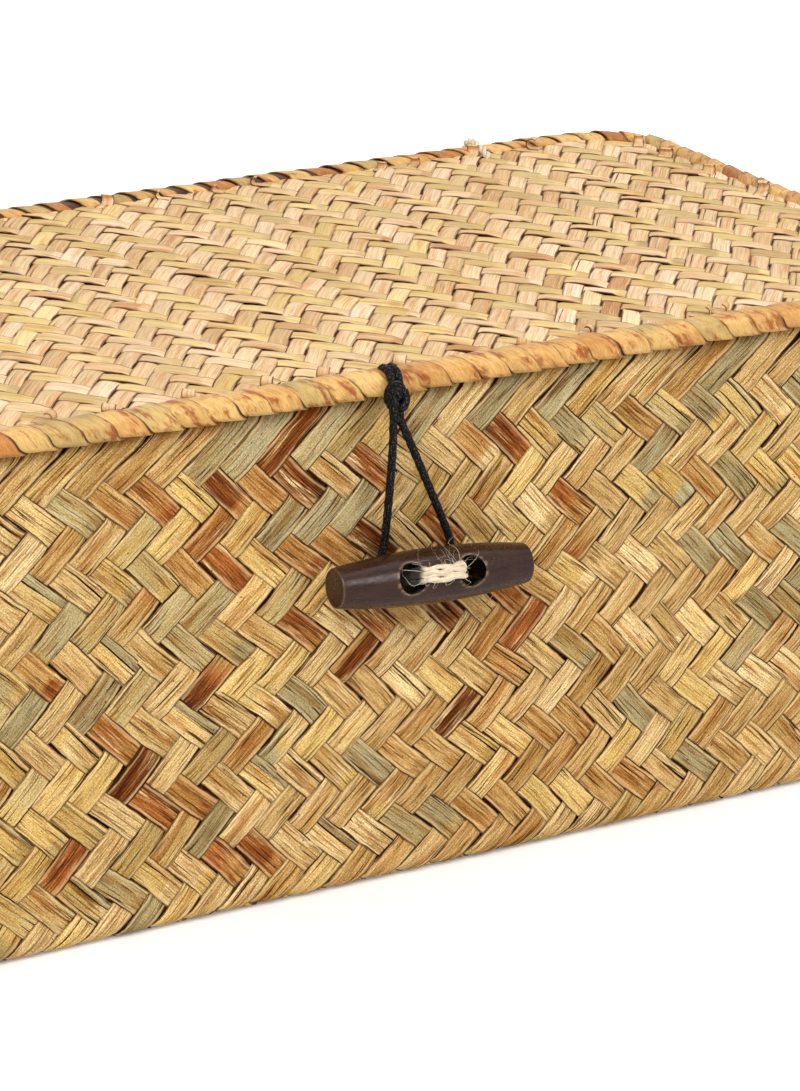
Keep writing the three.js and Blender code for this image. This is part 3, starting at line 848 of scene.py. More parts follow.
class Rounded:
    """A part whose outline is a rounded rectangle about the origin."""

    half_x: float
    half_y: float
    corner_radius: float

    def outline(self, inset: float) -> Track:
        """Draws the outline from the middle of its front edge, counter-clockwise.

        Args:
            inset: How far it is moved inwards.

        Returns:
            The outline, whose facing-away side is outside.
        """
        half_x, half_y, radius = (size - inset for size in (self.half_x, self.half_y, self.corner_radius))
        long_leg, short_leg = half_x - radius, 2 * (half_y - radius)
        corner = (radius * math.pi / 2, math.pi / 2)
        legs = [(long_leg, 0.0), corner, (short_leg, 0.0), corner, (2 * long_leg, 0.0), corner,
                (short_leg, 0.0), corner, (long_leg, 0.0)]
        return Track((0.0, -half_y), 0.0, legs)


def take_mesh(bm: bmesh.types.BMesh) -> Mesh:
    """Stores a working mesh.

    Args:
        bm: The working mesh, which is freed.

    Returns:
        The stored mesh.
    """
    mesh = bpy.data.meshes.new("piece")
    bm.to_mesh(mesh)
    bm.free()
    return mesh


def grid_mesh(along: int, across: int) -> Mesh:
    """Returns a square sheet of one metre about the origin, ruled into faces."""
    bm = bmesh.new()
    bmesh.ops.create_grid(bm, x_segments=along, y_segments=across, size=0.5)
    return take_mesh(bm)


def rule_strips(count: int, along: int, across: int, split: Array) -> tuple[Any, Array, Array, Array, Array]:
    """Rules one sheet into strips and cuts it along the lines between them.

    Args:
        count: How many strips.
        along: Segments along a strip.
        across: Segments across a whole strip.
        split: Which strips have a sliver split off along one edge.

    Returns:
        The flat mesh and, for each vertex, its share along the strip, the strip's number, its lane
        (0 the strip, 1 the sliver) and its share across the lane.
    """
    sliver = 2
    rows = across + 1 + sliver + 1
    last = count * rows - 1
    bm = bmesh.new()
    bmesh.ops.create_grid(bm, x_segments=along, y_segments=last, size=0.5)
    waste = []
    for face in bm.faces:
        row = math.floor((face.calc_center_median().y + 0.5) * last)
        within = row % rows
        if within in (across, rows - 1) or (within > across and not split[row // rows]):
            waste.append(face)
    bmesh.ops.delete(bm, geom=waste, context="FACES")
    mesh = take_mesh(bm)
    flat = vertex_places(mesh)
    row = np.rint((flat[:, 1] + 0.5) * last).astype(int)
    within = row % rows
    lane = (within > across).astype(int)
    share = np.where(lane == 0, within / across, (within - across - 1) / sliver)
    return mesh, flat[:, 0] + 0.5, row // rows, lane, share


def vertex_places(mesh: Mesh) -> Array:
    """Returns a mesh's vertices, one row each."""
    flat = np.empty(len(mesh.vertices) * 3, np.float32)
    mesh.vertices.foreach_get("co", flat)
    return flat.reshape(-1, 3).astype(float)


def place_vertices(mesh: Mesh, places: Array) -> None:
    """Moves a mesh's vertices to new places and smooths its shading."""
    mesh.vertices.foreach_set("co", places.astype(np.float32).ravel())
    mesh.shade_smooth()
    mesh.update()


def add_values(mesh: Mesh, **values: Any) -> None:
    """Stores one value or a row of them for the vertices under each name."""
    for name, value in values.items():
        attribute = mesh.attributes.new(name, "FLOAT", "POINT")
        attribute.data.foreach_set("value", np.full(len(mesh.vertices), value, np.float32))


def add_strip_uv(mesh: Mesh, along: Array, across: Array) -> None:
    """Stores a UV map along the strips.

    Args:
        mesh: The strips' mesh.
        along: Centimetres along the strip at each vertex.
        across: Widths across it.
    """
    corners = np.empty(len(mesh.loops), np.int32)
    mesh.loops.foreach_get("vertex_index", corners)
    layer = mesh.uv_layers.new(name=UV_NAME)
    layer.uv.foreach_set("vector", np.stack([along, across], 1)[corners].astype(np.float32).ravel())


def close_mesh(mesh: Mesh) -> None:
    """Welds a mesh's seams, fills its open ends and turns its faces outwards.

    Args:
        mesh: The mesh to close.
    """
    bm = bmesh.new()
    bm.from_mesh(mesh)
    bmesh.ops.remove_doubles(bm, verts=bm.verts, dist=WELD)
    bmesh.ops.holes_fill(bm, edges=[edge for edge in bm.edges if edge.is_boundary], sides=0)
    bmesh.ops.recalc_face_normals(bm, faces=bm.faces)
    bm.to_mesh(mesh)
    bm.free()


def place_object(name: str, data: Any) -> Piece:
    """Puts a mesh, a lamp or a camera in the scene under a name and returns its object."""
    obj = bpy.data.objects.new(name, data)
    bpy.context.scene.collection.objects.link(obj)
    return obj


def add_piece(name: str, mesh: Mesh, material: Material) -> Piece:
    """Puts a mesh in the scene under a name and with a finish, and returns its object."""
    mesh.name = name
    mesh.materials.append(material)
    return place_object(name, mesh)


def thicken(obj: Piece, thickness: float, offset: float) -> None:
    """Gives the strips of a piece their thickness and keeps their faces flat to the light.

    Args:
        obj: The piece, whose mesh has the strips' faces.
        thickness: How thick the strips are.
        offset: Where the faces lie in that thickness, from -1 outside to 1 inside.
    """
    solidify = obj.modifiers.new("strip_thickness", "SOLIDIFY")
    solidify.thickness = thickness
    solidify.offset = offset
    normals = obj.modifiers.new("even_normals", "WEIGHTED_NORMAL")
    normals.weight = 60


def dress(obj: Piece, replaces: Sequence[str]) -> None:
    """Hides the solids that a piece stands for and reports it.

    Args:
        obj: The piece.
        replaces: The solids that it stands for.
    """
    if replaces:
        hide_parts(*replaces)
    LOG.info("%s: %d faces", obj.name, len(obj.data.polygons))


def seat(obj: Piece, body: str, replaces: Sequence[str] = ()) -> None:
    """Seats a piece on one body and hides the solids that it stands for."""
    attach(obj, body)
    dress(obj, replaces)


def smooth_route(points: Sequence[Sequence[float]], steps: int, closed: bool = False) -> Array:
    """Draws a smooth curve through points given in millimetres.

    Args:
        points: The points to pass through.
        steps: Places on the curve from each point to the next.
        closed: Whether the curve comes back to its start.

    Returns:
        Places on the curve in metres, one row each.
    """
    knots = np.array(points, float) * MM
    if closed:
        knots = np.vstack([knots[-1:], knots, knots[:2]])
    else:
        knots = np.vstack([2 * knots[0] - knots[1], knots, 2 * knots[-1] - knots[-2]])
    share = (np.arange(steps) / steps)[:, None]
    parts = []
    for before, first, second, after in zip(knots, knots[1:], knots[2:], knots[3:]):
        bend = 2 * before - 5 * first + 4 * second - after
        twist = 3 * (first - second) + after - before
        parts.append(first + 0.5 * share * (second - before + share * (bend + share * twist)))
    return np.vstack(parts + [knots[-2:-1]])


def route_frames(route: Array) -> tuple[Array, Array, Array]:
    """Carries a pair of side directions along a route without twisting them.

    Args:
        route: Places along the route.

    Returns:
        The distances from the start and the two side directions at each place.
    """
    ahead = np.gradient(route, axis=0)
    ahead /= np.linalg.norm(ahead, axis=1)[:, None]
    side = np.cross(ahead[0], CORD_SKEW)
    sides = []
    for direction in ahead:
        side = side - direction * np.dot(side, direction)
        side = side / np.linalg.norm(side)
        sides.append(side)
    sides = np.array(sides)
    gaps = np.linalg.norm(np.diff(route, axis=0), axis=1)
    return np.concatenate([[0.0], np.cumsum(gaps)]), sides, np.cross(ahead, sides)


def twisted(route: Array, offset: float, lay: float, turn: float) -> Array:
    """Winds one ply round a route.

    Args:
        route: Places along the route.
        offset: How far the ply lies from it.
        lay: The length of one whole turn.
        turn: The angle at which the ply starts.

    Returns:
        The ply's own route.
    """
    distance, side, other = route_frames(route)
    angle = (2 * np.pi * distance / lay + turn)[:, None]
    return route + offset * (np.cos(angle) * side + np.sin(angle) * other)


def sweep(route: Array, sides: int, radius: Reach) -> Mesh:
    """Sweeps a round section along a route and closes both ends.

    Args:
        route: Places along the route.
        sides: Faces round the section.
        radius: Gives the section's radius for distances along and angles round the route.

    Returns:
        The closed mesh with its UV map.
    """
    count = len(route) - 1
    mesh = grid_mesh(count, sides)
    flat = vertex_places(mesh) + 0.5
    distance, side, other = route_frames(route)
    row = np.rint(flat[:, 0] * count).astype(int)
    angle = -2 * np.pi * flat[:, 1]
    reach = np.full(len(row), radius(distance[row], angle))[:, None]
    around = np.cos(angle)[:, None] * side[row] + np.sin(angle)[:, None] * other[row]
    place_vertices(mesh, route[row] + reach * around)
    add_strip_uv(mesh, distance[row] * 100, flat[:, 1])
    close_mesh(mesh)
    mesh.shade_smooth()
    return mesh


def joined(meshes: Sequence[Mesh]) -> Mesh:
    """Joins several meshes into a new one.

    Args:
        meshes: The meshes, which are used up.

    Returns:
        The new mesh.
    """
    bm = bmesh.new()
    for mesh in meshes:
        bm.from_mesh(mesh)
        bpy.data.meshes.remove(mesh)
    return take_mesh(bm)


def hairs(roots: Array, tips: Array, curl: Array, thickness: float) -> Mesh:
    """Makes thin curved fibres, each a tapering tube of three sides.

    Args:
        roots: Where the fibres start.
        tips: Where they end.
        curl: How far the middle of each one is pushed aside.
        thickness: Their radius at the root.

    Returns:
        The mesh of all the fibres.
    """
    count = len(roots)
    mesh, along, which, _, share = rule_strips(count, along=11, across=3, split=np.zeros(count))
    line = tips - roots
    route = roots[which] + along[:, None] * line[which]
    route += np.sin(np.pi * along)[:, None] * curl[which]
    route += 0.35 * np.sin(2.6 * np.pi * along)[:, None] * np.roll(curl, 1, axis=1)[which]
    side = np.cross(line, HAIR_SKEW)
    side /= np.linalg.norm(side, axis=1)[:, None]
    other = np.cross(line, side)
    other /= np.linalg.norm(other, axis=1)[:, None]
    reach = (thickness * (1.0 - 0.75 * along))[:, None]
    angle = (2 * np.pi * share)[:, None]
    place_vertices(mesh, route + reach * (np.cos(angle) * side[which] + np.sin(angle) * other[which]))
    add_values(mesh, tone=0.45 + 0.4 * np.sin(which * 2.4), shade=1.0, height=1.0)
    add_strip_uv(mesh, along, share * 0.2 + which)
    close_mesh(mesh)
    return mesh


@dataclass
class Box(Rounded):
    """The plaited box: walls folded in at the mouth, base, lining and inner floor."""

    corner_radius: float = 14.0 * MM
    base_radius: float = 4.0 * MM
    shell_middle: float = 0.7 * MM
    wall: float = 3.9 * MM
    mouth_lip: float = 0.85 * MM
    turn_under: float = 9.0 * MM
    row_pitch: float = 7.45 * MM
    first_rising: float = -0.1 * MM
    first_falling: float = 3.5 * MM
    last_row: float = 93.1 * MM
    mouth_depth: float = 9.0 * MM
    mouth_bend: float = 14.0
    lining_inset: float = 3.1 * MM
    lining_bend: float = 2.0 * MM
    lining_top: float = 3.1 * MM
    lining_pitch: float = 10.2 * MM
    panel_radius: float = 8.0 * MM
    sliver_count: int = 130
    sliver_radius: float = 0.09 * MM
    half_x: float = field(init=False)
    half_y: float = field(init=False)
    height: float = field(init=False)

    def __post_init__(self) -> None:
        """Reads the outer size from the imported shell."""
        self.half_x, self.half_y, self.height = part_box("body_shell")[1]

    def wall_plait(self) -> Plait:
        """Lays out the outer walls, from under the base to inside the mouth.

        Returns:
            The plait.
        """
        middle = self.shell_middle
        edge = self.base_radius - middle
        fold = self.wall / 2 - middle
        rise = self.height - self.wall / 2 - self.base_radius
        profile = Track((-edge - self.turn_under, middle), 0.0, [
            (self.turn_under, 0.0), (edge * math.pi / 2, math.pi / 2), (rise, 0.0),
            (fold * math.pi, math.pi), (self.mouth_lip, 0.0)])
        start = self.base_radius - edge * math.pi / 2 - self.turn_under
        form = WallForm(self.outline(middle), profile, Side.OUTSIDE, start)
        cut = StripCut(form.even_pitch(self.row_pitch), fill=1.005, uneven=0.06, wander=0.18 * MM,
                       warp=0.7 * MM)
        return form.plait(
            "wall_strips", cut, WALL_TONES, start_rising=self.first_rising, start_falling=self.first_falling,
            mouth_bend=self.mouth_bend, mouth_from=self.height - self.mouth_depth, last_row=self.last_row,
            shares=2, seed=11)

    def lining_plait(self) -> Plait:
        """Lays out the inner walls, from the inner floor to under the folded mouth.

        Returns:
            The plait.
        """
        inset, bend = self.lining_inset, self.lining_bend
        rise = self.height - self.lining_top - inset - bend
        profile = Track((-bend - self.turn_under, inset), 0.0, [
            (self.turn_under, 0.0), (bend * math.pi / 2, math.pi / 2), (rise, 0.0)])
        form = WallForm(self.outline(inset), profile, Side.INSIDE)
        cut = lining_cut(form.even_pitch(self.lining_pitch))
        return form.plait("lining_strips", cut, LINING_TONES, seed=21)

    def slivers(self, plait: Plait, material: Material) -> None:
        """Lifts thin loose slivers along the wall's strips.

        Args:
            plait: The wall's plait, whose wrap places the slivers.
            material: The wall's finish.
        """
        draw = np.random.default_rng(71)
        count = self.sliver_count
        p = draw.uniform(0.0, plait.round_length, count)
        q = draw.uniform(6.0, 93.0, count) * MM
        lean = draw.choice((-1.0, 1.0), count)
        length = draw.uniform(2.0, 6.5, count) * MM
        lift = draw.uniform(0.0, 0.7, count) * MM
        roots = plait.wrap(p, q, np.full(count, 0.45 * MM))
        tips = plait.wrap(p + lean * 0.75 * length, q + 0.66 * length, 0.5 * MM + lift)
        curl = draw.normal(0.0, 0.07, (count, 3)) * length[:, None]
        mesh = hairs(roots, tips, curl, self.sliver_radius)
        seat(add_piece("wall_slivers", mesh, material), "box")

    def build(self) -> None:
        """Builds every plaited piece of the box."""
        wall, grass, lining = self.wall_plait(), WALL_FINISH.build(), LINING_FINISH.build()
        wall.build("box", "grass_wall", grass, ["body_shell"])
        self.slivers(wall, grass)
        self.lining_plait().build("box", "grass_lining", lining, ["body_lining"])
        for name, face, level, inset, slot, seed in (
                ("inner_floor", Face.UP, 3.5 * MM, 6.5 * MM, "grass_lining", 31),
                ("base_panel", Face.DOWN, 1.6 * MM, 8.0 * MM, "grass_wall", 32)):
            sheet = FlatSheet(self.half_x - inset, self.half_y - inset, self.panel_radius, level, face)
            plait = sheet.plait(name, lining_cut(self.lining_pitch), Twill.ROWS, LINING_TONES, seed=seed)
            plait.build("box", slot, lining)


@dataclass
class Lid(Rounded):
    """The lid: two plaited mats whose edges are bound round a cane hoop."""

    corner_radius: float = 18.0 * MM
    mat_inset: float = 3.2 * MM
    top_level: float = 103.66 * MM
    top_pitch: float = 5.45 * MM
    top_stretch: float = 1.3
    under_level: float = 102.33 * MM
    under_pitch: float = 10.2 * MM
    rim_level: float = 102.6 * MM
    rim_inset: float = 2.65 * MM
    rim_half_width: float = 2.2 * MM
    rim_half_height: float = 1.85 * MM
    squareness: float = 2.6
    wraps: int = 125
    wrap_lap: float = 1.16
    wrap_lean: float = 10.5 * MM
    wrap_end: float = math.radians(158)
    wrap_step: float = 0.52 * MM
    wrap_thickness: float = 0.32 * MM
    # where the painted shade in the seam between two wraps begins across a wrap, and how softly it fades in
    seam: float = 0.308
    seam_fade: float = 0.05
    back_seam_shade: float = 0.36
    cane_inset: float = 2.3 * MM
    cane_radius: float = 0.8 * MM
    curl_inset: float = 8.0 * MM
    curl_count: int = 44
    curl_thickness: float = 0.25 * MM
    half_x: float = field(init=False)
    half_y: float = field(init=False)

    def __post_init__(self) -> None:
        """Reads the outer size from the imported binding."""
        self.half_x, self.half_y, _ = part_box("lid_rim_binding")[1]

    def mats(self, grass: Material) -> None:
        """Builds the upper and the lower mat.

        Args:
            grass: The finish of the upper one.
        """
        size = [length - self.mat_inset for length in (self.half_x, self.half_y, self.corner_radius)]
        cut = StripCut(self.top_pitch, fill=0.97, thickness=0.3 * MM, lift=0.36 * MM, crown=0.17 * MM,
                       roll=0.2 * MM, warp=0.36 * MM, split_share=0.14, bite=2.0, step=1.0 * MM)
        start = self.top_pitch / 4
        upper = FlatSheet(*size, self.top_level, Face.UP, self.top_stretch).plait(
            "lid_top_strips", cut, Twill.COLUMNS, LID_TONES, start_rising=start, start_falling=start,
            shares=2, seed=41)
        upper.build("lid", "grass_lid", grass, ["lid_top_mat"])
        lower = FlatSheet(*size, self.under_level, Face.DOWN).plait(
            "lid_under_strips", lining_cut(self.under_pitch, 0.28 * MM), Twill.ROWS, LINING_TONES, seed=42)
        lower.build("lid", "grass_lining", bpy.data.materials[LINING_FINISH.name], ["lid_under_mat"])

    def binding(self, material: Material) -> None:
        """Winds the binding round the rim, each wrap lapping over the one before it.

        Args:
            material: The binding's finish.
        """
        draw = np.random.default_rng(51)
        outline = self.outline(self.rim_inset)
        mesh, along, wrap, _, across = rule_strips(
            self.wraps, along=26, across=8, split=np.zeros(self.wraps))
        side = across - 0.5
        angle = (2 * along - 1) * self.wrap_end
        pitch = outline.length / self.wraps
        jitter = draw.normal(0.0, 0.03, self.wraps)[wrap] + 0.025 * np.sin(3 * angle + wrap)
        place = (wrap + 0.5 + jitter + side * self.wrap_lap) * pitch
        place = place - self.wrap_lean * angle / (2 * self.wrap_end)
        middle, away = outline.at(np.mod(place, outline.length))
        height = self.wrap_step * (side + 0.5) + 0.04 * MM * np.cos(np.pi * side)
        height = height + 0.05 * MM * draw.normal(0.0, 1.0, self.wraps)[wrap]
        power = 2 / self.squareness
        out = np.sign(np.cos(angle)) * np.abs(np.cos(angle)) ** power * (self.rim_half_width + height)
        level = np.sign(np.sin(angle)) * np.abs(np.sin(angle)) ** power * (self.rim_half_height + height)
        place_vertices(mesh, np.column_stack([middle + away * out[:, None], self.rim_level + level]))
        stain = 0.5 + 0.5 * np.sin(wrap * 0.9 + 2.0 * np.sin(wrap * 0.37))
        tone = draw.choice((0.25, 0.5, 0.66, 0.8, 1.0), self.wraps, p=(0.12, 0.26, 0.28, 0.2, 0.14))[wrap]
        tone = tone - 0.22 * stain * (0.5 + 0.5 * np.sin(2 * angle + wrap)) + 0.03 * np.sin(7 * side + wrap)
        # painted shade in the seams between the wraps, a brown darkening read through the height value, which
        # is wider along the middle of the back
        x, y = middle.T
        at_back = np.clip((70 * MM - x) / (25 * MM), 0.0, 1.0) * (y > 0)
        at_back = at_back * np.clip((x + 90 * MM) / (40 * MM), 0.0, 1.0)
        widened_seam_shade = self.back_seam_shade * at_back * (0.7 + 0.3 * np.sin(1.7 * wrap))
        add_values(mesh, tone=np.clip(tone, 0.0, 1.0),
                   shade=1.0 + 0.07 * draw.normal(0.0, 1.0, self.wraps)[wrap],
                   height=np.clip((side + self.seam - widened_seam_shade) / self.seam_fade, -1.0, 1.0))
        add_strip_uv(mesh, angle * 1.1 + 9.0 * wrap, side + 3.0 * wrap)
        obj = add_piece("rim_binding", mesh, material)
        thicken(obj, self.wrap_thickness, -1.0)
        seat(obj, "lid", ["lid_rim_binding"])

    def curls(self, grass: Material) -> None:
        """Curls up the loose strip ends that stand beside the rim.

        Args:
            grass: The finish of the upper mat.
        """
        draw = np.random.default_rng(53)
        count = self.curl_count
        outline = self.outline(self.curl_inset)
        mesh, along, which, _, across = rule_strips(count, along=16, across=4, split=np.zeros(count))
        middle, away = outline.at((np.arange(count) + draw.uniform(0.1, 0.9, count)) / count * outline.length)
        heading = np.arctan2(away[:, 1], away[:, 0]) + draw.choice((-0.8, 0.8), count)
        ahead = np.column_stack([np.cos(heading), np.sin(heading)])
        aside = np.column_stack([-ahead[:, 1], ahead[:, 0]])
        radius = draw.uniform(0.7, 1.2, count) * MM
        straight = draw.uniform(1.5, 3.5, count) * MM
        turn = draw.uniform(2.6, 4.2, count)
        run = along * (straight + radius * turn)[which]
        arc = np.maximum(run - straight[which], 0.0) / radius[which]
        forward = np.minimum(run, straight[which]) + radius[which] * np.sin(arc)
        width = draw.uniform(2.4, 3.6, count)[which] * MM * (1 - 0.25 * along)
        flat = middle[which] + forward[:, None] * ahead[which]
        flat = flat + ((across - 0.5) * width)[:, None] * aside[which]
        level = self.top_level + 0.4 * MM + radius[which] * (1 - np.cos(arc))
        place_vertices(mesh, np.column_stack([flat, level]))
        add_values(mesh, tone=draw.uniform(0.1, 0.7, count)[which],
                   shade=1.0 + 0.05 * draw.normal(0.0, 1.0, count)[which],
                   height=np.where(arc > 0.3, 1.0, 0.5))
        add_strip_uv(mesh, run * 100 + 7.0 * which, across - 0.5 + 3.0 * which)
        obj = add_piece("lid_curled_ends", mesh, grass)
        thicken(obj, self.curl_thickness, 0.0)
        seat(obj, "lid")

    def cane(self, material: Material) -> None:
        """Bends the hidden cane hoop round the rim.

        Args:
            material: The hoop's finish.
        """
        outline = self.outline(self.cane_inset)
        middle, _ = outline.at(np.linspace(0.0, outline.length, 400))
        route = np.column_stack([middle, np.full(len(middle), self.rim_level)])
        mesh = sweep(route, 8, lambda along, angle: self.cane_radius)
        add_values(mesh, tone=0.5, shade=1.0, height=1.0)
        seat(add_piece("rim_cane", mesh, material), "lid", ["lid_rim_cane"])

    def build(self) -> None:
        """Builds every grass piece of the lid."""
        grass, binding = LID_FINISH.build(), BINDING_FINISH.build()
        self.mats(grass)
        self.binding(binding)
        self.curls(grass)
        self.cane(binding)


@dataclass
class Elastic:
    """The black elastic: a doubled cord through the lid, its knot, and the loop below."""

    radius: float = 0.82 * MM
    braid: float = 0.09 * MM
    threads: int = 4
    thread_rate: float = 2.4
    anchor_gap: float = 1.5 * MM
    knot_gap: float = 0.62 * MM
    knot_place: Point = (-5.5, -73.2, 100.5)
    core_points: tuple[tuple[Point, ...], ...] = (
        ((-6.2, -72.8, 103.4), (-6.3, -73.2, 101.5), (-6.3, -73.4, 99.0), (-6.3, -73.5, 97.2),
         (-6.3, -73.5, 96.1)),
        ((-4.7, -72.8, 103.4), (-4.8, -73.0, 101.5), (-4.8, -73.0, 99.0), (-4.65, -72.9, 97.2),
         (-4.45, -72.8, 96.1)))
    loop_points: tuple[Point, ...] = (
        (-6.3, -73.5, 96.1), (-6.1, -72.9, 91.2), (-5.8, -71.2, 82.4), (-5.4, -68.8, 72.6),
        (-5.9, -68.4, 68.6), (-6.8, -68.2, 63.3), (-5.6, -68.2, 60.5), (-1.6, -68.2, 59.6),
        (4.0, -68.2, 59.6), (7.9, -68.2, 60.5), (9.2, -68.2, 63.8), (8.8, -68.4, 68.6),
        (7.3, -68.8, 72.6), (2.4, -70.7, 82.4), (-2.0, -72.2, 91.2), (-4.45, -72.8, 96.1))
    anchor_points: tuple[Point, ...] = (
        (-5.0, -67.2, 102.8), (-5.0, -67.4, 104.3), (-5.1, -68.5, 105.3), (-5.2, -69.9, 105.55),
        (-5.3, -71.3, 105.2), (-5.4, -72.4, 104.3), (-5.45, -72.8, 103.0))

    def cord(self, route: Array) -> Mesh:
        """Braids one length of cord.

        Args:
            route: Places along the cord.

        Returns:
            The cord's mesh.
        """
        def reach(along: Array, angle: Array) -> Array:
            """Gives the braided radius from two sets of threads wound both ways."""
            turn = along / MM * self.thread_rate
            weave = np.maximum(np.sin(self.threads * angle + turn), np.sin(self.threads * angle - turn))
            return self.radius + self.braid * (weave - 1.0)

        return sweep(route, 16, reach)

    def anchor(self) -> Mesh:
        """Braids the two cords that come up through the lid, side by side."""
        route = smooth_route(self.anchor_points, 12)
        return joined([self.cord(route + (side * self.anchor_gap / 2, 0.0, 0.0)) for side in (1, -1)])

    def knot(self) -> Mesh:
        """Ties the doubled cord: two strands through the middle and an overhand turn round them.

        Returns:
            The knot's mesh.
        """
        meshes = [self.cord(smooth_route(points, 10)) for points in self.core_points]
        turn = np.linspace(0.0, 2 * np.pi, 49)[:-1]
        reach = 1.6 + 0.72 * np.cos(3 * turn)
        points = np.column_stack([
            0.62 * reach * np.cos(2 * turn + 0.5), 0.95 * np.sin(3 * turn),
            1.36 * reach * np.sin(2 * turn + 0.5)])
        route = smooth_route(points + self.knot_place, 4, closed=True)
        for side in (0.0, math.pi):
            meshes.append(self.cord(twisted(route, self.knot_gap, UNTWISTED, side)))
        return joined(meshes)

    def build(self) -> None:
        """Builds the anchor, the knot and the loop."""
        finish = ElasticFinish().build()
        anchor = add_piece("elastic_anchor_cords", self.anchor(), finish)
        knot = add_piece("elastic_knot_tied", self.knot(), finish)
        seat(anchor, "lid", ["elastic_anchor"])
        seat(knot, "lid", ["elastic_knot"])
        route = smooth_route(self.loop_points, 24)
        loop = add_piece("elastic_loop_cord", self.cord(route), finish)
        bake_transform(loop)
        dress(loop, ["elastic_loop"])


@dataclass
class Toggle:
    """The turned wooden toggle and the twine stitch that holds it to the wall."""

    place: Point = (0.9 * MM, -75.0 * MM, 65.4 * MM)
    length: float = 41.0 * MM
    belly: float = 5.3 * MM
    end: float = 3.8 * MM
    edge: float = 0.4 * MM
    tilt: float = math.radians(2.7)
    roll: float = math.radians(-20.0)
    hole_radius: float = 2.9 * MM
    hole_spacing: float = 12.6 * MM
    hole_bevel: float = 0.32 * MM
    drill_length: float = 30.0 * MM
    yarn_radius: float = 0.52 * MM
    yarn_offsets: tuple[float, ...] = (-0.35, 0.35, 1.05, 1.7)
    fibre_count: int = 60
    long_fibres: int = 14
    fibre_radius: float = 0.055 * MM
    stitch_points: tuple[Point, ...] = (
        (0.9, -61.6, 63.19), (-3.0, -61.6, 63.19), (-4.2, -64.3, 63.19), (-4.2, -67.0, 63.19),
        (-4.1, -70.02, 63.36), (-3.5, -75.0, 65.17), (-3.1, -79.2, 66.74), (-2.3, -80.95, 67.3),
        (-1.0, -81.39, 67.41), (1.2, -81.48, 67.36), (3.4, -81.39, 67.24), (4.7, -80.95, 67.09),
        (5.5, -79.2, 66.62), (6.0, -75.0, 64.83), (6.5, -70.02, 63.02), (6.6, -67.0, 63.19),
        (6.6, -64.3, 63.19), (5.4, -61.6, 63.19), (1.5, -61.6, 63.19))

    def seat_matrix(self) -> Matrix:
        """Returns the turn and place of the toggle on the wall."""
        turn = Matrix.Rotation(self.tilt, 4, "Y") @ Matrix.Rotation(self.roll, 4, "X")
        return Matrix.Translation(self.place) @ turn

    def blank(self) -> Mesh:
        """Turns the barrel along the x axis, rounded off at both ends.

        Returns:
            The barrel's mesh without holes.
        """
        half = self.length / 2
        places = np.concatenate([
            half - self.edge * (1 - np.sin(np.linspace(np.pi / 2, 0.0, 7))),
            np.linspace(half - self.edge, self.edge - half, 60)[1:-1],
            self.edge * (1 - np.sin(np.linspace(0.0, np.pi / 2, 7))) - half])
        route = np.column_stack([places, np.zeros(len(places)), np.zeros(len(places))])

        def reach(along: Array, angle: Array) -> Array:
            """Gives the barrel's radius."""
            x = np.abs(half - along)
            full = self.belly - (self.belly - self.end) * (x / half) ** 2
            past = np.clip(x - (half - self.edge), 0.0, self.edge)
            return full - self.edge + np.sqrt(np.maximum(self.edge ** 2 - past ** 2, 0.0))

        return sweep(route, 96, reach)

    def drilled(self) -> Mesh:
        """Drills the two holes through the barrel and rounds their rims.

        Returns:
            The barrel's mesh.
        """
        obj = place_object("toggle_blank", self.blank())
        spare = [obj]
        for side in (-1, 1):
            place = Matrix.Translation((side * self.hole_spacing / 2, 0, 0))
            bm = bmesh.new()
            bmesh.ops.create_cone(
                bm, cap_ends=True, segments=64, radius1=self.hole_radius, radius2=self.hole_radius,
                depth=self.drill_length, matrix=place @ Matrix.Rotation(math.pi / 2, 4, "X"))
            modifier = obj.modifiers.new("drill", "BOOLEAN")
            modifier.operation = "DIFFERENCE"
            modifier.solver = "EXACT"
            modifier.object = place_object("drill", take_mesh(bm))
            spare.append(modifier.object)
        ready = obj.evaluated_get(bpy.context.evaluated_depsgraph_get())
        bm = bmesh.new()
        bm.from_mesh(bpy.data.meshes.new_from_object(ready))
        for used in spare:
            bpy.data.objects.remove(used)
        rims = [edge for edge in bm.edges if len(edge.link_faces) == 2 and edge.calc_face_angle() > 0.6
                and abs(edge.verts[0].co.x) < 12 * MM]
        bmesh.ops.bevel(bm, geom=rims, offset=self.hole_bevel, offset_type="OFFSET", affect="EDGES",
                        segments=3, profile=0.5, material=-1, clamp_overlap=True)
        bmesh.ops.dissolve_degenerate(bm, dist=1e-6, edges=bm.edges)
        mesh = take_mesh(bm)
        mesh.shade_smooth()
        return mesh

    def barrel(self) -> Mesh:
        """Makes the barrel, stores where it is worn and the painted shade inside its holes, and puts it in
        its place.

        Returns:
            The barrel's mesh.
        """
        mesh = self.drilled()
        x, y, z = vertex_places(mesh).T
        near = np.min([np.hypot(x - side * self.hole_spacing / 2, z) for side in (-1, 1)], 0)
        out = np.hypot(y, z)
        rim = np.exp(-((near - self.hole_radius - 0.14 * MM) / (0.16 * MM)) ** 2) * (out > 3.4 * MM)
        end = np.exp(-((np.abs(x) - self.length / 2 + 0.14 * MM) / (0.15 * MM)) ** 2)
        end = end * (out > self.end - self.edge)
        # wear on the rims and ends, and painted shade on the walls of the holes
        add_values(mesh, wear=np.maximum(0.85 * rim, 0.3 * end), bore=near < self.hole_radius + 0.05 * MM)
        mesh.transform(self.seat_matrix())
        return mesh

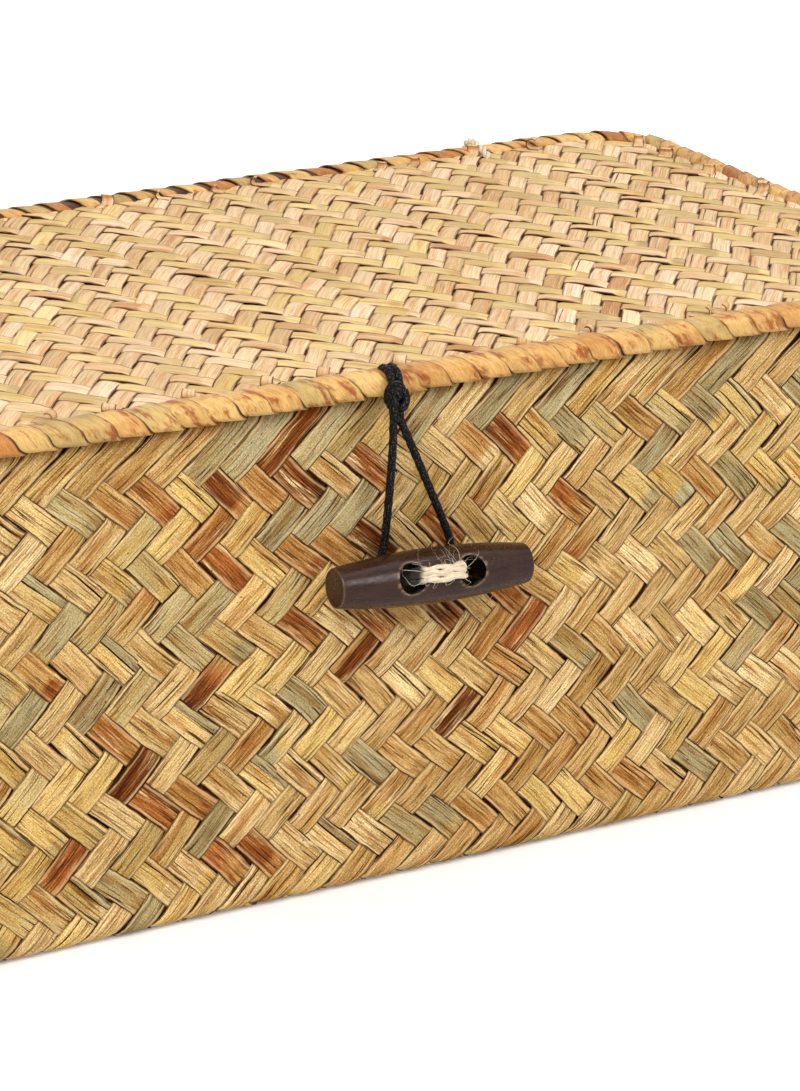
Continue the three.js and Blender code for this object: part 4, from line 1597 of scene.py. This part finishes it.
    def stitch(self, finish: Material) -> None:
        """Lays the yarns of the stitch side by side and frays them.

        Args:
            finish: The twine's finish.
        """
        route = smooth_route(self.stitch_points, 10)
        up = np.array(self.seat_matrix().to_3x3() @ Vector((0.0, 0.0, 1.0)))
        spread = np.clip((-70.5 * MM - route[:, 1]) / (4 * MM), 0.35, 1.0)

        def reach(along: Array, angle: Array) -> Array:
            """Gives a yarn's radius, ribbed by its two strands."""
            return self.yarn_radius * (1 + 0.16 * np.cos(2 * angle - along / MM * 2.1))

        yarns = []
        for number, offset in enumerate(self.yarn_offsets):
            bulge = 0.18 * MM * np.sin(np.linspace(0, 37 + 5 * number, len(route)) + number)
            line = route + (offset * MM * spread + bulge)[:, None] * up
            yarns.append(sweep(line + (0.0, 0.25 * MM * (number % 2) - 0.1 * MM, 0.0), 10, reach))
        mesh = joined(yarns)
        # painted shade for the yarns inside the toggle's holes, which lie behind its front
        add_values(mesh, soiled=np.clip((vertex_places(mesh)[:, 1] + 79.9 * MM) / (1.3 * MM), 0.0, 1.0))
        stitch = add_piece("stitch_yarns", mesh, finish)
        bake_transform(stitch)
        dress(stitch, ["toggle_twine"])

        # loose fibres stand off the front of the stitch, and the long ones stand up
        draw = np.random.default_rng(61)
        count, tall = self.fibre_count, self.long_fibres
        pick = draw.permutation(np.resize(np.flatnonzero(route[:, 1] < -79.5 * MM), count))
        roots = route[pick] + up * draw.uniform(-0.6, 2.1, count)[:, None] * MM
        lengths = np.where(
            np.arange(count) < tall, draw.uniform(3.5, 7.0, count), draw.uniform(0.8, 2.4, count))
        way = draw.normal(0.0, 1.0, (count, 3)) * (0.7, 0.25, 0.6) + (0.0, -0.35, 0.25)
        way[:tall] = way[:tall] * (1.0, 0.5, 0.4) + (0.0, 0.0, 0.8)
        way /= np.linalg.norm(way, axis=1)[:, None]
        tips = roots + way * lengths[:, None] * MM
        curl = draw.normal(0.0, 0.34, (count, 3)) * lengths[:, None] * MM
        fibres = hairs(roots, tips, curl, self.fibre_radius)
        seat(add_piece("stitch_fibres", fibres, finish), "toggle")

    def build(self) -> None:
        """Builds the toggle and its stitch."""
        barrel = add_piece("toggle_barrel", self.barrel(), WoodFinish().build())
        seat(barrel, "toggle", ["toggle"])
        self.stitch(bpy.data.materials["spun_twine"])


@dataclass
class Ties:
    """The twine that hinges the lid, and the knot that stops the toggle's stitch inside."""

    tie_x: float = 92.0
    tie_radius: float = 0.9 * MM
    knot_radius: float = 0.95 * MM
    lay: float = 3.4 * MM
    tie_points: tuple[tuple[float, float], ...] = (
        (65.05, 92.5), (68.2, 93.7), (68.9, 97.03), (71.5, 99.95), (72.3, 103.0), (71.4, 105.3),
        (68.4, 105.95), (65.6, 105.5), (62.8, 104.7), (61.9, 103.0), (61.4, 100.58), (58.4, 97.63),
        (56.9, 93.8), (59.4, 91.6), (62.5, 92.1))
    knot_start: tuple[Point, ...] = ((-1.5, -60.0, 63.0), (0.3, -60.0, 62.6))
    knot_tail: tuple[Point, ...] = ((2.2, -59.8, 53.5), (3.4, -59.6, 51.2))

    def twine(self, route: Array, radius: float) -> Mesh:
        """Spins two plies round a route and returns their mesh."""
        plies = [twisted(route, radius * 0.5, self.lay, turn) for turn in (0.0, math.pi)]
        return joined([sweep(ply, 8, lambda along, angle: radius * 0.52) for ply in plies])

    def build(self) -> None:
        """Builds both hinge ties and the inner knot."""
        finish = TwineFinish().build()
        for name, sign in (("left", -1), ("right", 1)):
            route = smooth_route([(sign * self.tie_x, *point) for point in self.tie_points], 12, closed=True)
            tie = add_piece(f"tie_{name}", self.twine(route, self.tie_radius), finish)
            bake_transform(tie)
            dress(tie, [f"hinge_tie_{name}"])
        angles = np.linspace(0.0, 3.4 * np.pi, 34)
        coil = np.column_stack([
            1.2 + 2.0 * np.cos(angles), -60.1 + 1.5 * np.sin(angles), 61.6 - 0.9 * angles / 2])
        route = smooth_route(np.vstack([self.knot_start, coil, self.knot_tail]), 4)
        knot = add_piece("inner_twine_knot", self.twine(route, self.knot_radius), finish)
        seat(knot, "box", ["twine_knot"])


@dataclass(frozen=True)
class Lamp:
    """One square soft lamp."""

    name: str
    place: Point
    size: float
    power: float
    target: Point = (0.0, 0.0, 0.05)

    def build(self) -> None:
        """Hangs the lamp so that it faces the box."""
        data = bpy.data.lights.new(self.name, "AREA")
        data.size = self.size
        data.energy = self.power
        aim = Vector(self.target) - Vector(self.place)
        turn = aim.to_track_quat("-Z", "Y").to_matrix().to_4x4()
        place_object(self.name, data).matrix_world = Matrix.Translation(self.place) @ turn


@dataclass
class Studio:
    """The floor, the light and the camera of the picture."""

    camera_place: Point = (-0.34307, -0.6866, 0.32495)
    camera_yaw: float = math.radians(28.883)
    camera_pitch: float = math.radians(19.872)
    camera_roll: float = math.radians(0.163)
    focal_pixels: float = 3992.7
    picture_height: float = 1091.0
    sensor: float = 36.0
    floor_side: float = 8.0
    lamps: tuple[Lamp, ...] = (
        Lamp("key", (-0.8, -1.1, 1.3), 0.8, 20.0), Lamp("side", (0.6, -1.4, 1.1), 0.7, 11.0),
        Lamp("top", (0.5, 0.35, 1.4), 1.4, 7.0))

    def camera(self) -> None:
        """Places the camera where the picture was taken from."""
        yaw, pitch, roll = self.camera_yaw, self.camera_pitch, self.camera_roll
        ahead = Vector((math.sin(yaw) * math.cos(pitch), math.cos(yaw) * math.cos(pitch), -math.sin(pitch)))
        right = Vector((math.cos(yaw), -math.sin(yaw), 0.0))
        up = right.cross(ahead)
        turned_right = math.cos(roll) * right + math.sin(roll) * up
        turned_up = math.cos(roll) * up - math.sin(roll) * right
        data = bpy.data.cameras.new("camera")
        data.sensor_width = self.sensor
        data.lens = self.focal_pixels * self.sensor / self.picture_height
        data.clip_start = 0.01
        data.clip_end = 50.0
        obj = place_object("camera", data)
        turn = Matrix((turned_right, turned_up, -ahead)).transposed().to_4x4()
        obj.matrix_world = Matrix.Translation(self.camera_place) @ turn
        bpy.context.scene.camera = obj

    def world(self) -> None:
        """Makes a white surround that the camera sees, with a softer light from it."""
        world = bpy.data.worlds.new("studio")
        world.use_nodes = True
        bpy.context.scene.world = world
        graph = Graph(world.node_tree)
        path = graph.add("ShaderNodeLightPath").outputs
        seen = graph.math("MAXIMUM", path["Is Camera Ray"], path["Is Glossy Ray"])
        seen = graph.math("MAXIMUM", seen, path["Is Transmission Ray"])
        graph.plug(world.node_tree.nodes["Background"], {
            "Color": WHITE, "Strength": graph.fade(seen, 0.0, 1.0, 0.36, 1.0)})

    def floor(self) -> None:
        """Lays a pale floor that keeps the box's shadow."""
        material, graph, shader = new_material("floor_paper")
        place = graph.add("ShaderNodeTexCoord").outputs["Object"]
        shade = graph.noise(place, (3.0, 3.0, 3.0))
        seen = graph.add("ShaderNodeLightPath").outputs["Is Camera Ray"]
        reach = graph.add("ShaderNodeVectorMath", {0: place}, operation="LENGTH").outputs["Value"]
        # the floor glows for the camera only, weakly near the box and more strongly further out, so the far
        # floor is painted whiter while the box's real shadow shows near it
        graph.plug(shader, {
            "Base Color": graph.ramp(shade, ((0.0, (0.9, 0.9, 0.9)), (1.0, (0.93, 0.93, 0.93)))),
            "Roughness": 0.9, "Emission Color": WHITE,
            "Emission Strength": graph.times(seen, graph.fade(reach, 0.16, 0.55, 0.2, 0.75))})
        mesh = grid_mesh(1, 1)
        mesh.transform(Matrix.Scale(self.floor_side, 4))
        add_piece("floor", mesh, material)

    def build(self) -> None:
        """Sets the whole stage."""
        bpy.context.scene.view_settings.view_transform = "Standard"
        self.camera()
        self.world()
        self.floor()
        for lamp in self.lamps:
            lamp.build()


def main() -> None:
    """Builds the stage and every piece of the box."""
    logging.basicConfig(level=logging.INFO, format="%(name)s: %(message)s")
    for part in (Studio(), Ties(), Elastic(), Toggle(), Box(), Lid()):
        part.build()
    bpy.context.view_layer.update()


if __name__ == "__main__":
    main()
